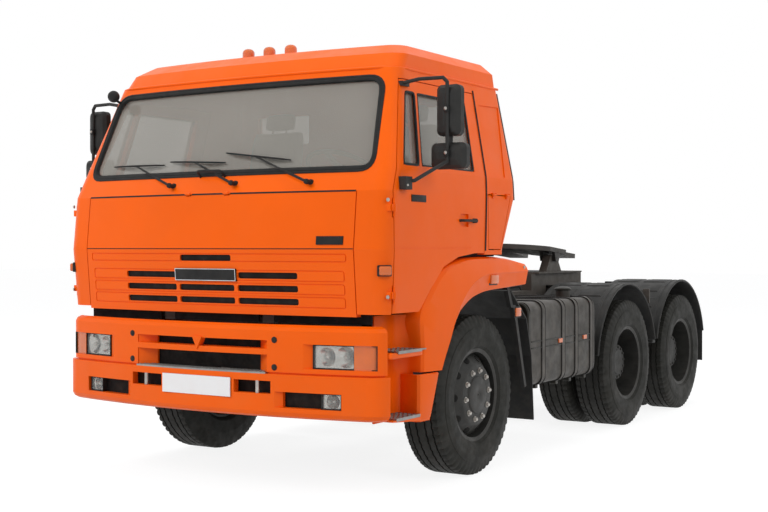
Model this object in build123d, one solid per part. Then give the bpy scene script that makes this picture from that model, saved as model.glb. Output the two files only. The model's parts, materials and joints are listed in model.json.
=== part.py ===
from build123d import *
import math
import os

# Tractor unit of a semi truck, 6x4, with a tilting cab over the engine.
# Millimetres. +Z is up, the front of the truck looks along -Y and its left side is +X.
# y is measured from the front axle here; export() moves everything so that the
# middle of the truck's length lies over the origin.

# --- wheels and axles
TYRE_RADIUS = 518
TYRE_WIDTH = 300
RIM_RADIUS = 292
RIM_WIDTH = 236
FRONT_WHEEL_X = 1042
REAR_OUTER_X = 1035
TWIN_SPACING = 330
WHEELBASE = 2690
BOGIE_SPREAD = 1320
KINGPIN_X = 880
SPINDLE_RADIUS = 42
RUNNING_GAP = 0.4

# --- chassis
FRONT_Y = -1400
TAIL_Y = WHEELBASE + BOGIE_SPREAD + 680
RAIL_OUTER_X = 432
RAIL_FRONT = -1130
RAIL_TOP = 1110
RAIL_BOTTOM = 820
RAIL_FLANGE = 85
RAIL_THICKNESS = 9
HALF_WIDTH = 1250
BEYOND = HALF_WIDTH + 150

# --- bumper
BUMPER_BOTTOM = 482
BUMPER_SPLIT = 735
BUMPER_TOP = 1022
BUMPER_END_Y = -1172
BUMPER_WALL = 45
BUMPER_BOW = 154
BUMPER_CORNER = 145
UPPER_SETBACK = 14
PLATE_THICKNESS = 4
TREAD_X = 505
LAMP_BACK = -1180

# --- cab
CAB_BOTTOM = 1090
CAB_REAR = 430
LOW_REAR = 250
WALL = 60
FIREWALL = 100
DOOR_HINGE = (HALF_WIDTH, -1142)
DOOR_HINGE_Z = (1200, 1700)
HINGE_EYE = 13
HINGE_PIN = 8
LID_HINGE = (-1290, 1801)
LID_HINGE_X = 150
LID_EYE = 9
LID_PIN = 4.5
LOCKER_HINGE = (HALF_WIDTH + 6, 1813)
LOCKER_HINGE_Y = (90, 282)
LOCKER_EYE = 8
LOCKER_PIN = 3.6
CAB_PIVOT = (-1160, 1060)
CAB_PIN = 14
PANEL_DEPTH = 48
PANEL_HALF_WIDTH = HALF_WIDTH - 205
PANEL_BOTTOM = 1074
PANEL_SPLIT = 1462
PANEL_TOP = 1798
SEAM = 6
ROOF_LINE = 2510
DOOR_REAR = -45
FLOOR_TOP = 1500
FLOOR_HALF_WIDTH = HALF_WIDTH - 70
FLOOR_REAR_Y = LOW_REAR - 130
WELL_Z = 1130
TUNNEL_X = (440, 470)
WELL_SIDE_X = 1065

# --- fifth wheel
FIFTH_Y = WHEELBASE + 210
FIFTH_PIVOT_Z = 1385
FIFTH_TILT = 5
KINGPIN_RADIUS = 25.5
FIFTH_PIN = 14

# --- body panels: height, half width, y of the front in the middle and at the
# corners, y of the back
CAB_SECTIONS = [
    (1072, HALF_WIDTH - 8, -1284, -1198, LOW_REAR),
    (1462, HALF_WIDTH, -1320, -1232, LOW_REAR),
    (1798, HALF_WIDTH - 4, -1288, -1198, CAB_REAR),
    (1925, HALF_WIDTH - 12, -1215, -1135, CAB_REAR),
    (2545, HALF_WIDTH - 142, -965, -895, CAB_REAR),
]
ROOF_SECTIONS = [
    (2545, HALF_WIDTH - 150, -950, -874, CAB_REAR),
    (2640, HALF_WIDTH - 164, -886, -806, CAB_REAR),
    (2708, HALF_WIDTH - 238, -762, -692, CAB_REAR - 25),
    (2742, HALF_WIDTH - 400, -538, -474, CAB_REAR - 65),
    (2765, HALF_WIDTH - 640, -265, -225, CAB_REAR - 130),
]
FRONT_CORNER = 110
REAR_CORNER = 55


def block(x, y, z):
    """Box between two limits on each axis."""
    centre = ((x[0] + x[1]) / 2, (y[0] + y[1]) / 2, (z[0] + z[1]) / 2)
    return Pos(*centre) * Box(x[1] - x[0], y[1] - y[0], z[1] - z[0])


def side_prism(outline, x):
    """Outline of (y, z) points, extruded across the truck between two x limits."""
    face = make_face(Polyline([(x[0], y, z) for y, z in outline], close=True))
    return extrude(face, amount=x[1] - x[0], dir=(1, 0, 0))


def tube_x(radius, x, y, z, bore=0):
    """Cylinder along X between two x limits, with a bore where one is given."""
    disc = Circle(radius) - Circle(bore) if bore else Circle(radius)
    return Pos(x[0], y, z) * extrude(Plane.YZ * disc, amount=x[1] - x[0])


def tube_y(radius, x, y, z):
    """Cylinder along Y between two y limits."""
    return Pos(x, sum(y) / 2, z) * Rot(-90, 0, 0) * Cylinder(radius, y[1] - y[0])


def tube_z(radius, x, y, z):
    """Upright cylinder between two heights."""
    return Pos(x, y, z[0]) * extrude(Circle(radius), amount=z[1] - z[0])


def plan_prism(outline, z):
    """Outline of (x, y) points, extruded upwards between two heights."""
    face = make_face(Polyline([(x, y, z[0]) for x, y in outline], close=True))
    return extrude(face, amount=z[1] - z[0], dir=(0, 0, 1))


def ring_x(profile):
    """Solid of revolution about X from (x, radius) points."""
    face = make_face(Polyline([(x, 0, r) for x, r in profile], close=True))
    return revolve(face, axis=Axis.X)


def other_side(shape):
    """The same piece on the right of the truck."""
    return mirror(shape, about=Plane.YZ)


def both_sides(shape):
    """A piece and its mirror image."""
    return [shape, other_side(shape)]


def joined(shapes):
    """One shape from several pieces that touch."""
    result = shapes[0]
    for shape in shapes[1:]:
        result = result + shape
    return result


def plan_section(z, half, mid, edge, rear, radius=FRONT_CORNER):
    """Level outline of the cab: a bowed front, straight sides and round corners."""
    front = ThreePointArc((-half, edge), (0, mid), (half, edge))
    sides = Polyline((half, edge), (half, rear), (-half, rear), (-half, edge))
    outline = make_face([front, sides])
    outline = fillet(outline.vertices().sort_by(Axis.Y)[:2], radius)
    outline = fillet(outline.vertices().sort_by(Axis.Y)[-2:], REAR_CORNER)
    return Pos(0, 0, z) * outline


def bowed_loft(sections):
    """Body through level sections."""
    return loft([plan_section(*row) for row in sections], ruled=True)


def export(shape, name):
    """Move a piece from the axle's frame to the truck's and write it."""
    middle = (FRONT_Y + TAIL_Y) / 2
    pieces = shape if isinstance(shape, list) else [shape]
    solids = [solid for piece in pieces for solid in (Pos(0, -middle, 0) * piece).solids()]
    whole = solids[0] if len(solids) == 1 else Compound(children=solids)
    export_step(whole, f"parts/{name}.step")


# --- cab shell

def cab_outside():
    return bowed_loft(CAB_SECTIONS)


def cab_inside():
    """Hollow of the cab: the walls' thickness inside the outer form."""
    rows = []
    for z, half, mid, edge, rear in CAB_SECTIONS:
        front = FIREWALL if z < 1900 else WALL
        rows.append((z, half - WALL, mid + front, edge + front, rear - WALL))
    rows[0] = (rows[0][0] - 1, *rows[0][1:])
    rows[-1] = (rows[-1][0] + 1, *rows[-1][1:])
    return bowed_loft(rows)


DOOR_OUTLINE = [
    (-1142, 1096), (-852, 1096), (-722, 1222), (-562, 1358), (-382, 1414),
    (-170, 1436), (DOOR_REAR, 1436), (DOOR_REAR + 66, 2470), (-870, 2470),
    (-1080, 1925), (-1136, 1798),
]
WINDOW_OUTLINE = [
    (-1012, 1952), (-140, 1952), (-100, 2402), (-838, 2402),
]
VENT_POST = [
    (-829, 1940), (-801, 1940), (-701, 2414), (-729, 2414),
]
ARCH_OUTLINE = [
    (-846, 1060), (-846, 1084), (-716, 1212), (-558, 1348), (-380, 1404),
    (-168, 1426), (CAB_REAR + 10, 1426), (CAB_REAR + 10, 1060),
]
HANDLE_POCKET_Y = (-350, -250)
HANDLE_POCKET_Z = (1602, 1682)
CREASE_Y = (-1128, -230)
CREASE_Z = 1467
LOCKER_OUTLINE = [(24, 1462), (188, 1462), (340, 1810), (24, 1810)]
LID_THICKNESS = 10
PRESSING_OUTLINE = [(52, 1945), (282, 1935), (372, 2412), (98, 2404)]
WINDSCREEN_HALF = (HALF_WIDTH - 142, HALF_WIDTH - 208)
WINDSCREEN_Z = (1928, 2480)
SEAL_LIP = 12
SEAL_RISE = 6
GLASS_DEPTH = 20
REAR_WINDOWS = [(-900, -420), (420, 900)]
REAR_WINDOW_Z = (2240, 2450)


def side_cutter(outline, seam, x=(HALF_WIDTH - 350, BEYOND)):
    """Prism through the left wall with a seam's width round the outline."""
    face = make_face(Polyline([(y, z) for y, z in outline], close=True))
    if seam:
        face = offset(face, amount=seam, kind=Kind.INTERSECTION)
    turned = Plane(origin=(x[0], 0, 0), x_dir=(0, 1, 0), z_dir=(1, 0, 0)) * face
    return extrude(turned, amount=x[1] - x[0])


def windscreen_cutter(grown=0):
    """Prism along Y of the windscreen's outline, grown all round."""
    low, high = (half + grown for half in WINDSCREEN_HALF)
    z0, z1 = (WINDSCREEN_Z[0] - grown, WINDSCREEN_Z[1] + grown)
    outline = [(-low, z0), (low, z0), (high, z1), (-high, z1)]
    face = fillet(make_face(Polyline(outline, close=True)).vertices(), 70 + grown)
    turned = Plane(origin=(0, -1500, 0), x_dir=(1, 0, 0), z_dir=(0, -1, 0)) * face
    return extrude(turned, amount=-900)


def front_layer(depth):
    """Layer of the cab's front of a given depth, measured along Y."""
    rows = [(z, half, mid + depth, edge + depth, rear) for z, half, mid, edge, rear in CAB_SECTIONS]
    return cab_outside() - bowed_loft(rows)


def cab_shell():
    shell = cab_outside() - cab_inside()
    shell = shell & block((-BEYOND, BEYOND), (-1500, 500), (CAB_BOTTOM, ROOF_LINE))
    arch = side_prism(ARCH_OUTLINE, (-BEYOND, BEYOND))
    return shell - arch


def side_wall():
    """Walls beside the cab's hollow, with nothing of the front wall."""
    rows = [(z, half - WALL, -1700, -1650, rear - WALL) for z, half, mid, edge, rear in CAB_SECTIONS]
    rows[0] = (rows[0][0] - 1, *rows[0][1:])
    rows[-1] = (rows[-1][0] + 1, *rows[-1][1:])
    return cab_outside() - bowed_loft(rows)


OUTSIDE = cab_outside()
CAVITY = cab_inside()
SHELL = cab_shell()
SIDE_WALL = side_wall()
PANEL_SKIN = front_layer(PANEL_DEPTH) & block((-BEYOND, BEYOND), (-1500, -900), (PANEL_BOTTOM, PANEL_TOP))


def door_hinge_rings():
    """Eyes on the front pillar round the door's pins."""
    x, y = DOOR_HINGE
    eyes = []
    for z in DOOR_HINGE_Z:
        height = (z - 20, z + 20)
        eye = tube_z(HINGE_EYE, x, y, height)
        strap = block((x - 12, x + 4), (y - 26, y), height)
        root = block((x - 44, x - 4), (y - 40, y - 14), height)
        eyes.append(joined([eye, strap, root]) - tube_z(HINGE_PIN, x, y, (z - 30, z + 30)))
    return joined(eyes)


def door():
    """Left door leaf with its window cut and its two hinge pins."""
    leaf = SIDE_WALL & side_cutter(DOOR_OUTLINE, 0)
    for z in DOOR_HINGE_Z:
        leaf = leaf - tube_z(HINGE_EYE + SEAM, *DOOR_HINGE, (z - 26, z + 26))
        leaf = leaf + tube_z(HINGE_PIN - RUNNING_GAP, *DOOR_HINGE, (z - 50, z + 50))
    leaf = leaf - side_cutter(WINDOW_OUTLINE, 0)
    leaf = leaf - block((HALF_WIDTH - 16, BEYOND), HANDLE_POCKET_Y, HANDLE_POCKET_Z)
    leaf = leaf - block((HALF_WIDTH - 3, BEYOND), CREASE_Y, (CREASE_Z, CREASE_Z + 4))
    return leaf + (SIDE_WALL & side_cutter(VENT_POST, 0))


def door_glass():
    pane = SHELL & side_cutter(WINDOW_OUTLINE, 0)
    inner = bowed_loft([(z, half - 24, mid, edge, rear) for z, half, mid, edge, rear in CAB_SECTIONS[3:]])
    rows = [(z, half - 18, mid - 90, edge - 90, rear) for z, half, mid, edge, rear in CAB_SECTIONS[3:]]
    outer = bowed_loft(rows)
    inner = inner + Pos(0, -90, 0) * inner
    return (pane & outer) - inner - side_cutter(VENT_POST, 0)


def rear_zone():
    """Everything behind the inner face of the rear wall."""
    inner = [(rear - WALL, z) for z, half, mid, edge, rear in CAB_SECTIONS]
    outline = [(600, 1000), (inner[0][0], 1000), *inner[1:-1], (inner[-1][0], 2600), (600, 2600)]
    return side_prism(outline, (-BEYOND, BEYOND))


def side_pressing():
    """Shallow field pressed into the side wall behind the door."""
    rows = [(z, half - 6, mid, edge, rear) for z, half, mid, edge, rear in CAB_SECTIONS]
    return (cab_outside() - bowed_loft(rows)) & side_cutter(PRESSING_OUTLINE, 0)


def cab_sides():
    """Side walls with the corner panels and the door openings."""
    side = SHELL & block((PANEL_HALF_WIDTH + SEAM, BEYOND), (-1500, 500), (CAB_BOTTOM, ROOF_LINE))
    side = side - rear_zone()
    side = side - side_cutter(DOOR_OUTLINE, SEAM)
    side = side - side_cutter(LOCKER_OUTLINE, SEAM)
    side = side - side_pressing()
    side = side - block((HALF_WIDTH - 350, BEYOND), (-1060, DOOR_REAR), (1080, 1440))
    side = side - windscreen_cutter()
    for z in DOOR_HINGE_Z:
        side = side - tube_z(HINGE_EYE, *DOOR_HINGE, (z - 56, z + 56))
    return both_sides(joined([side, door_hinge_rings(), locker_pins()]))


def cab_front():
    """Firewall behind the front panel, scuttle and the frame of the windscreen."""
    half = PANEL_HALF_WIDTH + SEAM
    front = SHELL & block((-half, half), (-1500, -700), (CAB_BOTTOM, ROOF_LINE))
    front = front - windscreen_cutter()
    front = front - (PANEL_SKIN + Pos(0, SEAM, 0) * PANEL_SKIN)
    front = front - block((-TUNNEL_X[1] - SEAM, TUNNEL_X[1] + SEAM), (-1500, -900), (0, FLOOR_TOP - 45))
    for x in (-LID_HINGE_X, LID_HINGE_X):
        front = front + tube_x(LID_EYE, (x - 15, x + 15), *LID_HINGE)
        front = front - tube_x(LID_PIN, (x - 30, x + 30), *LID_HINGE)
    return front


def cab_rear():
    wall = SHELL & rear_zone()
    for x in REAR_WINDOWS:
        wall = wall - block(x, (300, 500), REAR_WINDOW_Z)
    return wall


def cab_roof():
    """Rim of the roof, drip edge and the raised cap over a hollow."""
    rim = (OUTSIDE - CAVITY) & block((-BEYOND, BEYOND), (-1500, 500), (ROOF_LINE, 2545))
    hollow = [(z, half - WALL, mid + WALL, edge + WALL, rear - WALL) for z, half, mid, edge, rear in ROOF_SECTIONS]
    hollow[-1] = (hollow[-1][0] - 40, *hollow[-1][1:])
    hollow[-2] = (hollow[-2][0] - 35, *hollow[-2][1:])
    cap = bowed_loft(ROOF_SECTIONS) - bowed_loft(hollow)
    return rim + cap


# air slots of the grille: height of the middle, left end, right end
GRILLE_SLOTS = [
    (1410, -200, 200),
    (1306, -671, -245), (1306, 245, 671),
    (1229, -671, -240), (1229, -216, 216), (1229, 240, 671),
    (1153, -671, -240), (1153, -216, 216), (1153, 240, 671),
]
SLOT_HEIGHT = 38
# pressed frames round the rows of slots: height of the middle, height, half width
GRILLE_FRAMES = [(1412, 50, 1000), (1306, 66, 984), (1229, 66, 984), (1153, 66, 984)]
FRAME_LINE = 6
FRAME_DEPTH = 5


def rounded_slot(x, z, y, radius):
    """Prism along Y of a rectangle with round corners."""
    return fillet(block(x, y, z).edges().filter_by(Axis.Y), radius)


def grille_frames():
    """Grooves of the pressed frames, as deep as the pressing."""
    depth = (-1500, -900)
    grooves = []
    for middle, height, half in GRILLE_FRAMES:
        z = (middle - height / 2, middle + height / 2)
        inner_z = (z[0] + FRAME_LINE, z[1] - FRAME_LINE)
        ring = rounded_slot((-half, half), z, depth, 16)
        grooves.append(ring - rounded_slot((-half + FRAME_LINE, half - FRAME_LINE), inner_z, depth, 10))
    line = block((-BEYOND, BEYOND), depth, (PANEL_SPLIT, PANEL_SPLIT + FRAME_LINE))
    layer = front_layer(FRAME_DEPTH)
    return [layer & groove for groove in [*grooves, line]]


def front_panel():
    """Upper panel and grille of the lid under the windscreen."""
    zone = block((-PANEL_HALF_WIDTH, PANEL_HALF_WIDTH), (-1500, -900), (PANEL_BOTTOM, PANEL_TOP))
    panel = PANEL_SKIN & zone
    for z, left, right in GRILLE_SLOTS:
        height = (z - SLOT_HEIGHT / 2, z + SLOT_HEIGHT / 2)
        panel = panel - rounded_slot((left, right), height, (-1500, -1100), 12)
    for groove in grille_frames():
        panel = panel - groove
    for x in (-LID_HINGE_X, LID_HINGE_X):
        panel = panel - tube_x(LID_EYE + SEAM, (x - 21, x + 21), *LID_HINGE)
        panel = panel + tube_x(LID_PIN - RUNNING_GAP, (x - 28, x + 28), *LID_HINGE)
    return panel


def cab_floor():
    """Raised floor over the engine and wheels, with the low wells in front of it."""
    half = FLOOR_HALF_WIDTH
    low = (WELL_Z, WELL_Z + 40)
    high = (FLOOR_TOP - 40, FLOOR_TOP)
    full = (WELL_Z, FLOOR_TOP)
    raised = block((-half, half), (-560, FLOOR_REAR_Y), high)
    raised = raised + block((-half + REAR_CORNER, half - REAR_CORNER), (FLOOR_REAR_Y, CAB_REAR), high)
    tunnel = block((-TUNNEL_X[1], TUNNEL_X[1]), (-1200, -560), high)
    left = joined([
        block(TUNNEL_X, (-1150, -560), full),
        block((TUNNEL_X[0], WELL_SIDE_X), (-600, -560), full),
        block((TUNNEL_X[0], half), (-1150, -860), low),
        block((TUNNEL_X[0], WELL_SIDE_X), (-860, -600), low),
        block((WELL_SIDE_X - 25, WELL_SIDE_X), (-885, -560), full),
        block((WELL_SIDE_X, half), (-885, -860), full),
        block((WELL_SIDE_X, half), (-885, -560), high),
    ])
    floor = joined([raised, tunnel, left, other_side(left)]) & CAVITY
    y, z = CAB_PIVOT
    ear = block(TUNNEL_X, (y - 25, y + 25), (z - 25, z + 115))
    ear = ear + tube_x(CAB_PIN - RUNNING_GAP, (RAIL_OUTER_X - RAIL_FLANGE, TUNNEL_X[1]), y, z)
    return joined([floor, ear, other_side(ear)])


def cab_glass():
    """Windscreen and the two rear windows."""
    front = GLASS_DEPTH
    rows = [(z, half - 5, mid + front, edge + front, rear) for z, half, mid, edge, rear in CAB_SECTIONS[3:]]
    back = [(z, half, mid + front + 7, edge + front + 7, rear) for z, half, mid, edge, rear in CAB_SECTIONS[3:]]
    sheet = bowed_loft(rows) - bowed_loft(back)
    sheet = sheet & windscreen_cutter()
    panes = [block(x, (CAB_REAR - 35, CAB_REAR - 28), REAR_WINDOW_Z) for x in REAR_WINDOWS]
    return [sheet, *panes]


def seats():
    """Two seats: pedestal, cushion, back and head rest."""
    result = []
    for x in (-560, 560):
        base = block((x - 150, x + 150), (-330, 100), (FLOOR_TOP, 1720))
        cushion = fillet(block((x - 250, x + 250), (-400, 130), (1720, 1860)).edges().filter_by(Axis.X), 40)
        back = side_prism([(60, 1860), (170, 1860), (250, 2330), (160, 2330)], (x - 240, x + 240))
        head = side_prism([(165, 2330), (245, 2330), (262, 2450), (190, 2450)], (x - 130, x + 130))
        result.append(base + cushion + back + head)
    return result


def dashboard():
    """Instrument panel under the windscreen and the steering column."""
    outline = [(-1300, 1560), (-1300, 1905), (-960, 1905), (-800, 1850), (-780, 1700), (-860, 1560)]
    half = HALF_WIDTH - 170
    panel = side_prism(outline, (-half, half)) & CAVITY
    column = STEER_PLACE * Pos(0, 0, -160) * Cylinder(34, 320)
    return panel + column


STEER_PLACE = Pos(560, -650, 1930) * Rot(-28, 0, 0)


def steering_wheel():
    """Rim, three spokes and hub, square to the column."""
    turns = [math.radians(angle) for angle in range(0, 360, 45)]
    section = [(230 + 16 * math.cos(turn), 0, 16 * math.sin(turn)) for turn in turns]
    rim = revolve(make_face(Polyline(section, close=True)), axis=Axis.Z)
    hub = Pos(0, 0, -8) * Cylinder(50, 44)
    spokes = [Rot(0, 0, angle) * Pos(125, 0, 0) * Box(190, 34, 16) for angle in (0, 180, 270)]
    whole = joined([rim, hub, *spokes])
    return STEER_PLACE * Pos(0, 0, 30 + RUNNING_GAP) * whole


# --- front lid, doors and lockers carry their own pieces

MIRROR_CENTRE_X = HALF_WIDTH + 158
MIRROR_Y = -765
MIRROR_DOME = [(15, 0), (-25, 0), (-46, 20), (-58, 56)]


def mirror_housing(width, z):
    """Rounded housing with a domed back, through levels of (y, inset)."""
    sections = []
    for y, inset in MIRROR_DOME:
        outline = Rectangle(width - 2 * inset, z[1] - z[0] - 2 * inset)
        outline = fillet(outline.vertices(), 34 - inset * 0.4)
        origin = (MIRROR_CENTRE_X, MIRROR_Y + y, sum(z) / 2)
        sections.append(Plane(origin=origin, x_dir=(1, 0, 0), z_dir=(0, -1, 0)) * outline)
    return loft(sections, ruled=True)


def mirrors():
    """Main and wide-angle mirrors on one bent bar between two brackets of the door."""
    main = mirror_housing(160, (2125, 2425))
    wide = mirror_housing(236, (1932, 2085))
    stem = tube_z(14, MIRROR_CENTRE_X, MIRROR_Y - 5, (2080, 2130))
    bar_x = MIRROR_CENTRE_X + 10
    bar_y = MIRROR_Y - 64
    bar = arm([
        (HALF_WIDTH - 135, -868, 2440), (HALF_WIDTH - 10, -850, 2462), (bar_x - 25, bar_y - 5, 2462),
        (bar_x, bar_y, 2436), (bar_x, bar_y, 1975), (HALF_WIDTH + 50, -1000, 1858), (HALF_WIDTH - 14, -1040, 1850),
    ])
    foot = block((HALF_WIDTH - 20, HALF_WIDTH + 40), (-1080, -1010), (1805, 1880))
    head = block((HALF_WIDTH - 150, HALF_WIDTH - 105), (-880, -800), (2428, 2456))
    return joined([main, wide, stem, bar, foot, head]) - OUTSIDE


def arm(points, radius=11):
    """Round bar along straight runs."""
    bars = []
    for start, end in zip(points, points[1:]):
        direction = Vector(*end) - Vector(*start)
        plane = Plane(origin=start, z_dir=direction)
        bars.append(extrude(plane * Circle(radius), amount=direction.length))
        bars.append(Pos(*end) * Sphere(radius))
    return joined(bars)


WIPER_PIVOTS = (-380, 130, 680)


def windscreen_seal():
    """Rubber profile round the windscreen, lying on its frame and on the glass."""
    rise = SEAL_RISE
    rows = [(z, half + rise, mid - rise, edge - rise, rear) for z, half, mid, edge, rear in CAB_SECTIONS[2:]]
    depth = GLASS_DEPTH
    inner = [(z, half - 5, mid + depth, edge + depth, rear) for z, half, mid, edge, rear in CAB_SECTIONS[2:]]
    ring = windscreen_cutter(SEAL_LIP) - windscreen_cutter(-SEAL_LIP)
    return ((bowed_loft(rows) - bowed_loft(inner)) & ring) - SHELL


def cab_trim():
    """Seal of the windscreen, wipers and the round mirror on the right."""
    pieces = [windscreen_seal()]
    for pivot in WIPER_PIVOTS:
        bow = 80 * (pivot / HALF_WIDTH) ** 2
        post = arm([(pivot, -1230 + bow, 1860), (pivot, -1272 + bow, 1864)], 14)
        bar = arm([(pivot, -1266 + bow, 1866), (pivot - 240, -1206 + bow, 2008)], 7)
        blade = block((pivot - 430, pivot - 60), (-1212 + bow, -1176 + bow), (2000, 2016))
        pieces.append(post + bar + blade - OUTSIDE)
    ball = arm([(-1070, -900, 2440), (-1085, -1010, 2475)], 9) + Pos(-1085, -1020, 2485) * Sphere(45)
    pieces.append(ball - OUTSIDE)
    return pieces


ROOF_LAMP_Y = -663
ROOF_LAMP_SPACING = 172
ROOF_LAMP_TOP = 2778


def roof_lamps():
    """Three domed marker lamps on the front slope of the roof."""
    roof = bowed_loft(ROOF_SECTIONS)
    lamps = []
    for x in (-ROOF_LAMP_SPACING, 0, ROOF_LAMP_SPACING):
        lamp = tube_z(40, x, ROOF_LAMP_Y, (ROOF_LAMP_TOP - 90, ROOF_LAMP_TOP))
        lamp = fillet(lamp.edges().sort_by(Axis.Z)[-1:], 30)
        lamps.append(lamp - roof)
    return lamps


# --- chassis

def ladder_frame():
    """Two channel rails and their cross members."""
    length = (RAIL_FRONT, TAIL_Y - 100)
    rail = block((RAIL_OUTER_X - RAIL_THICKNESS, RAIL_OUTER_X), length, (RAIL_BOTTOM, RAIL_TOP))
    flange_x = (RAIL_OUTER_X - RAIL_FLANGE, RAIL_OUTER_X)
    for z in (RAIL_BOTTOM, RAIL_TOP - RAIL_THICKNESS):
        rail = rail + block(flange_x, length, (z, z + RAIL_THICKNESS))
    members = []
    inner = RAIL_OUTER_X - RAIL_THICKNESS
    behind = WHEELBASE + BOGIE_SPREAD / 2
    for y in (-1085, 1320, 1900, WHEELBASE - 340, behind, TAIL_Y - 150):
        members.append(block((-inner, inner), (y - 40, y + 40), (RAIL_BOTTOM + 60, RAIL_TOP - 60)))
    y, z = CAB_PIVOT
    pivot = block(flange_x, (y - 28, RAIL_FRONT + 40), (z - 40, z + 40)) - tube_x(CAB_PIN, (0, 500), y, z)
    rest_y = (FLOOR_REAR_Y - 30, FLOOR_REAR_Y + 30)
    rest = block((RAIL_OUTER_X - 50, RAIL_OUTER_X), rest_y, (RAIL_TOP, FLOOR_TOP - 40 - RUNNING_GAP))
    left = joined([rail, pivot, rest])
    return joined([left, other_side(left), *members])


def leaf_pack(ends_z, middle_z, half, thickness, y, x):
    """Curved stack of spring leaves, taken as one crescent."""
    lower = ThreePointArc((y - half, ends_z), (y, middle_z - thickness / 2), (y + half, ends_z))
    upper_z = ends_z + 26
    upper = ThreePointArc((y + half, upper_z), (y, middle_z + thickness / 2), (y - half, upper_z))
    caps = [Line((y + half, ends_z), (y + half, upper_z)), Line((y - half, upper_z), (y - half, ends_z))]
    face = make_face([lower, upper, *caps])
    turned = Plane(origin=(x[0], 0, 0), x_dir=(0, 1, 0), z_dir=(1, 0, 0)) * face
    return extrude(turned, amount=x[1] - x[0])


SPRING_X = (352, 428)
KNUCKLE_Z = (430, 606)


def front_axle():
    """Dropped beam with kingpin eyes, and the leaf springs on it."""
    beam = block((-760, 760), (-55, 55), (360, 450))
    for sign in (-1, 1):
        outer = KINGPIN_X * sign
        inner = 740 * sign
        low, high = sorted((inner, outer))
        beam = beam + block((low, high), (-50, 50), (KNUCKLE_Z[0], KNUCKLE_Z[1]))
        low, high = sorted((700 * sign, 780 * sign))
        beam = beam + block((low, high), (-50, 50), (360, KNUCKLE_Z[1]))
        beam = beam + tube_z(58, outer, 0, KNUCKLE_Z)
        beam = beam - tube_z(24, outer, 0, (300, 700))
    spring = leaf_pack(668, 490, 640, 80, 0, SPRING_X)
    seat = block(SPRING_X, (-90, 90), (448, 470))
    hangers = [block(SPRING_X, (y - 45, y + 45), (680, RAIL_BOTTOM)) for y in (-640, 640)]
    springs = joined([spring, seat, *hangers])
    return joined([beam, springs, other_side(springs)])


def knuckle():
    """Fork round the beam's eye, kingpin and spindle, left side."""
    arms = []
    for z0, z1 in ((KNUCKLE_Z[0] - 50, KNUCKLE_Z[0] - 5), (KNUCKLE_Z[1] + 5, KNUCKLE_Z[1] + 50)):
        arms.append(block((KINGPIN_X - 45, KINGPIN_X + 85), (-55, 55), (z0, z1)))
    post = block((KINGPIN_X + 64, KINGPIN_X + 85), (-55, 55), (KNUCKLE_Z[0] - 50, KNUCKLE_Z[1] + 50))
    pin = tube_z(24 - RUNNING_GAP, KINGPIN_X, 0, (KNUCKLE_Z[0] - 20, KNUCKLE_Z[1] + 20))
    spindle = tube_x(SPINDLE_RADIUS - RUNNING_GAP, (KINGPIN_X + 70, KINGPIN_X + 255), 0, TYRE_RADIUS)
    plate = tube_x(190, (KINGPIN_X + 68, KINGPIN_X + 78), 0, TYRE_RADIUS)
    return joined([*arms, post, pin, spindle, plate])


def tyre():
    """Tyre of (x, radius) points: beads, side walls, shoulders and the running face."""
    half = TYRE_WIDTH / 2
    side = [
        (RIM_WIDTH / 2 - 12, RIM_RADIUS), (half, RIM_RADIUS + 110), (half - 12, TYRE_RADIUS - 44),
        (half - 46, TYRE_RADIUS),
    ]
    return ring_x([(-x, radius) for x, radius in side] + side[::-1])


def twin_tyres():
    """Two tyres side by side."""
    return Compound(children=[Pos(x, 0, 0) * tyre() for x in (-TWIN_SPACING / 2, TWIN_SPACING / 2)])


def rim_barrel():
    """Rim without its disc, its outer flange on the outside of the truck."""
    half = RIM_WIDTH / 2
    return ring_x([
        (-half, RIM_RADIUS), (-half, RIM_RADIUS - 16), (half, RIM_RADIUS - 16), (half, RIM_RADIUS + 8),
        (half - 8, RIM_RADIUS + 8), (half - 8, RIM_RADIUS),
    ])


HAND_HOLES = 10


def disc_holes(radius, size, x):
    """Ring of round holes through a wheel disc."""
    holes = []
    for index in range(HAND_HOLES):
        angle = 2 * math.pi * index / HAND_HOLES
        holes.append(tube_x(size, x, radius * math.cos(angle), radius * math.sin(angle)))
    return holes


def front_wheel():
    """Rim with the disc pushed outwards, hub and brake drum; axis X, outside +X."""
    disc = ring_x([
        (-60, SPINDLE_RADIUS), (-60, 150), (60, 150), (60, 172), (30, 215), (10, RIM_RADIUS - 16),
        (24, RIM_RADIUS - 16), (48, 222), (76, 176), (76, 110), (120, 105), (120, 0), (98, 0), (98, SPINDLE_RADIUS),
    ])
    wheel = rim_barrel() + disc
    for hole in disc_holes(228, 22, (0, 80)):
        wheel = wheel - hole
    return wheel


def rear_wheels():
    """Twin rims with discs back to back on one hub; the hub's flange at x = 0."""
    outer = Pos(TWIN_SPACING / 2, 0, 0) * rim_barrel()
    disc = ring_x([
        (0, 150), (0, 190), (70, RIM_RADIUS - 16), (86, RIM_RADIUS - 16), (14, 190), (14, 150),
    ])
    discs = disc + other_side(disc)
    for hole in disc_holes(222, 22, (-100, 100)):
        discs = discs - hole
    hub = ring_x([
        (-260, SPINDLE_RADIUS), (-260, 205), (-20, 205), (-20, 160), (14, 160), (14, 120), (150, 105), (190, 90),
        (190, 0), (172, 0), (172, SPINDLE_RADIUS),
    ])
    return joined([hub, discs, outer, other_side(outer)])


REAR_HUB_X = REAR_OUTER_X - TWIN_SPACING / 2


def axle_banjo(y):
    """Swollen middle of a driving axle, round the final drive."""
    half = [(0, 205), (110, 175), (185, 95), (215, 60)]
    profile = [(-x, radius) for x, radius in reversed(half)] + half[1:]
    return Pos(0, y, TYRE_RADIUS) * ring_x([(-215, 0), *profile, (215, 0)])


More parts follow.
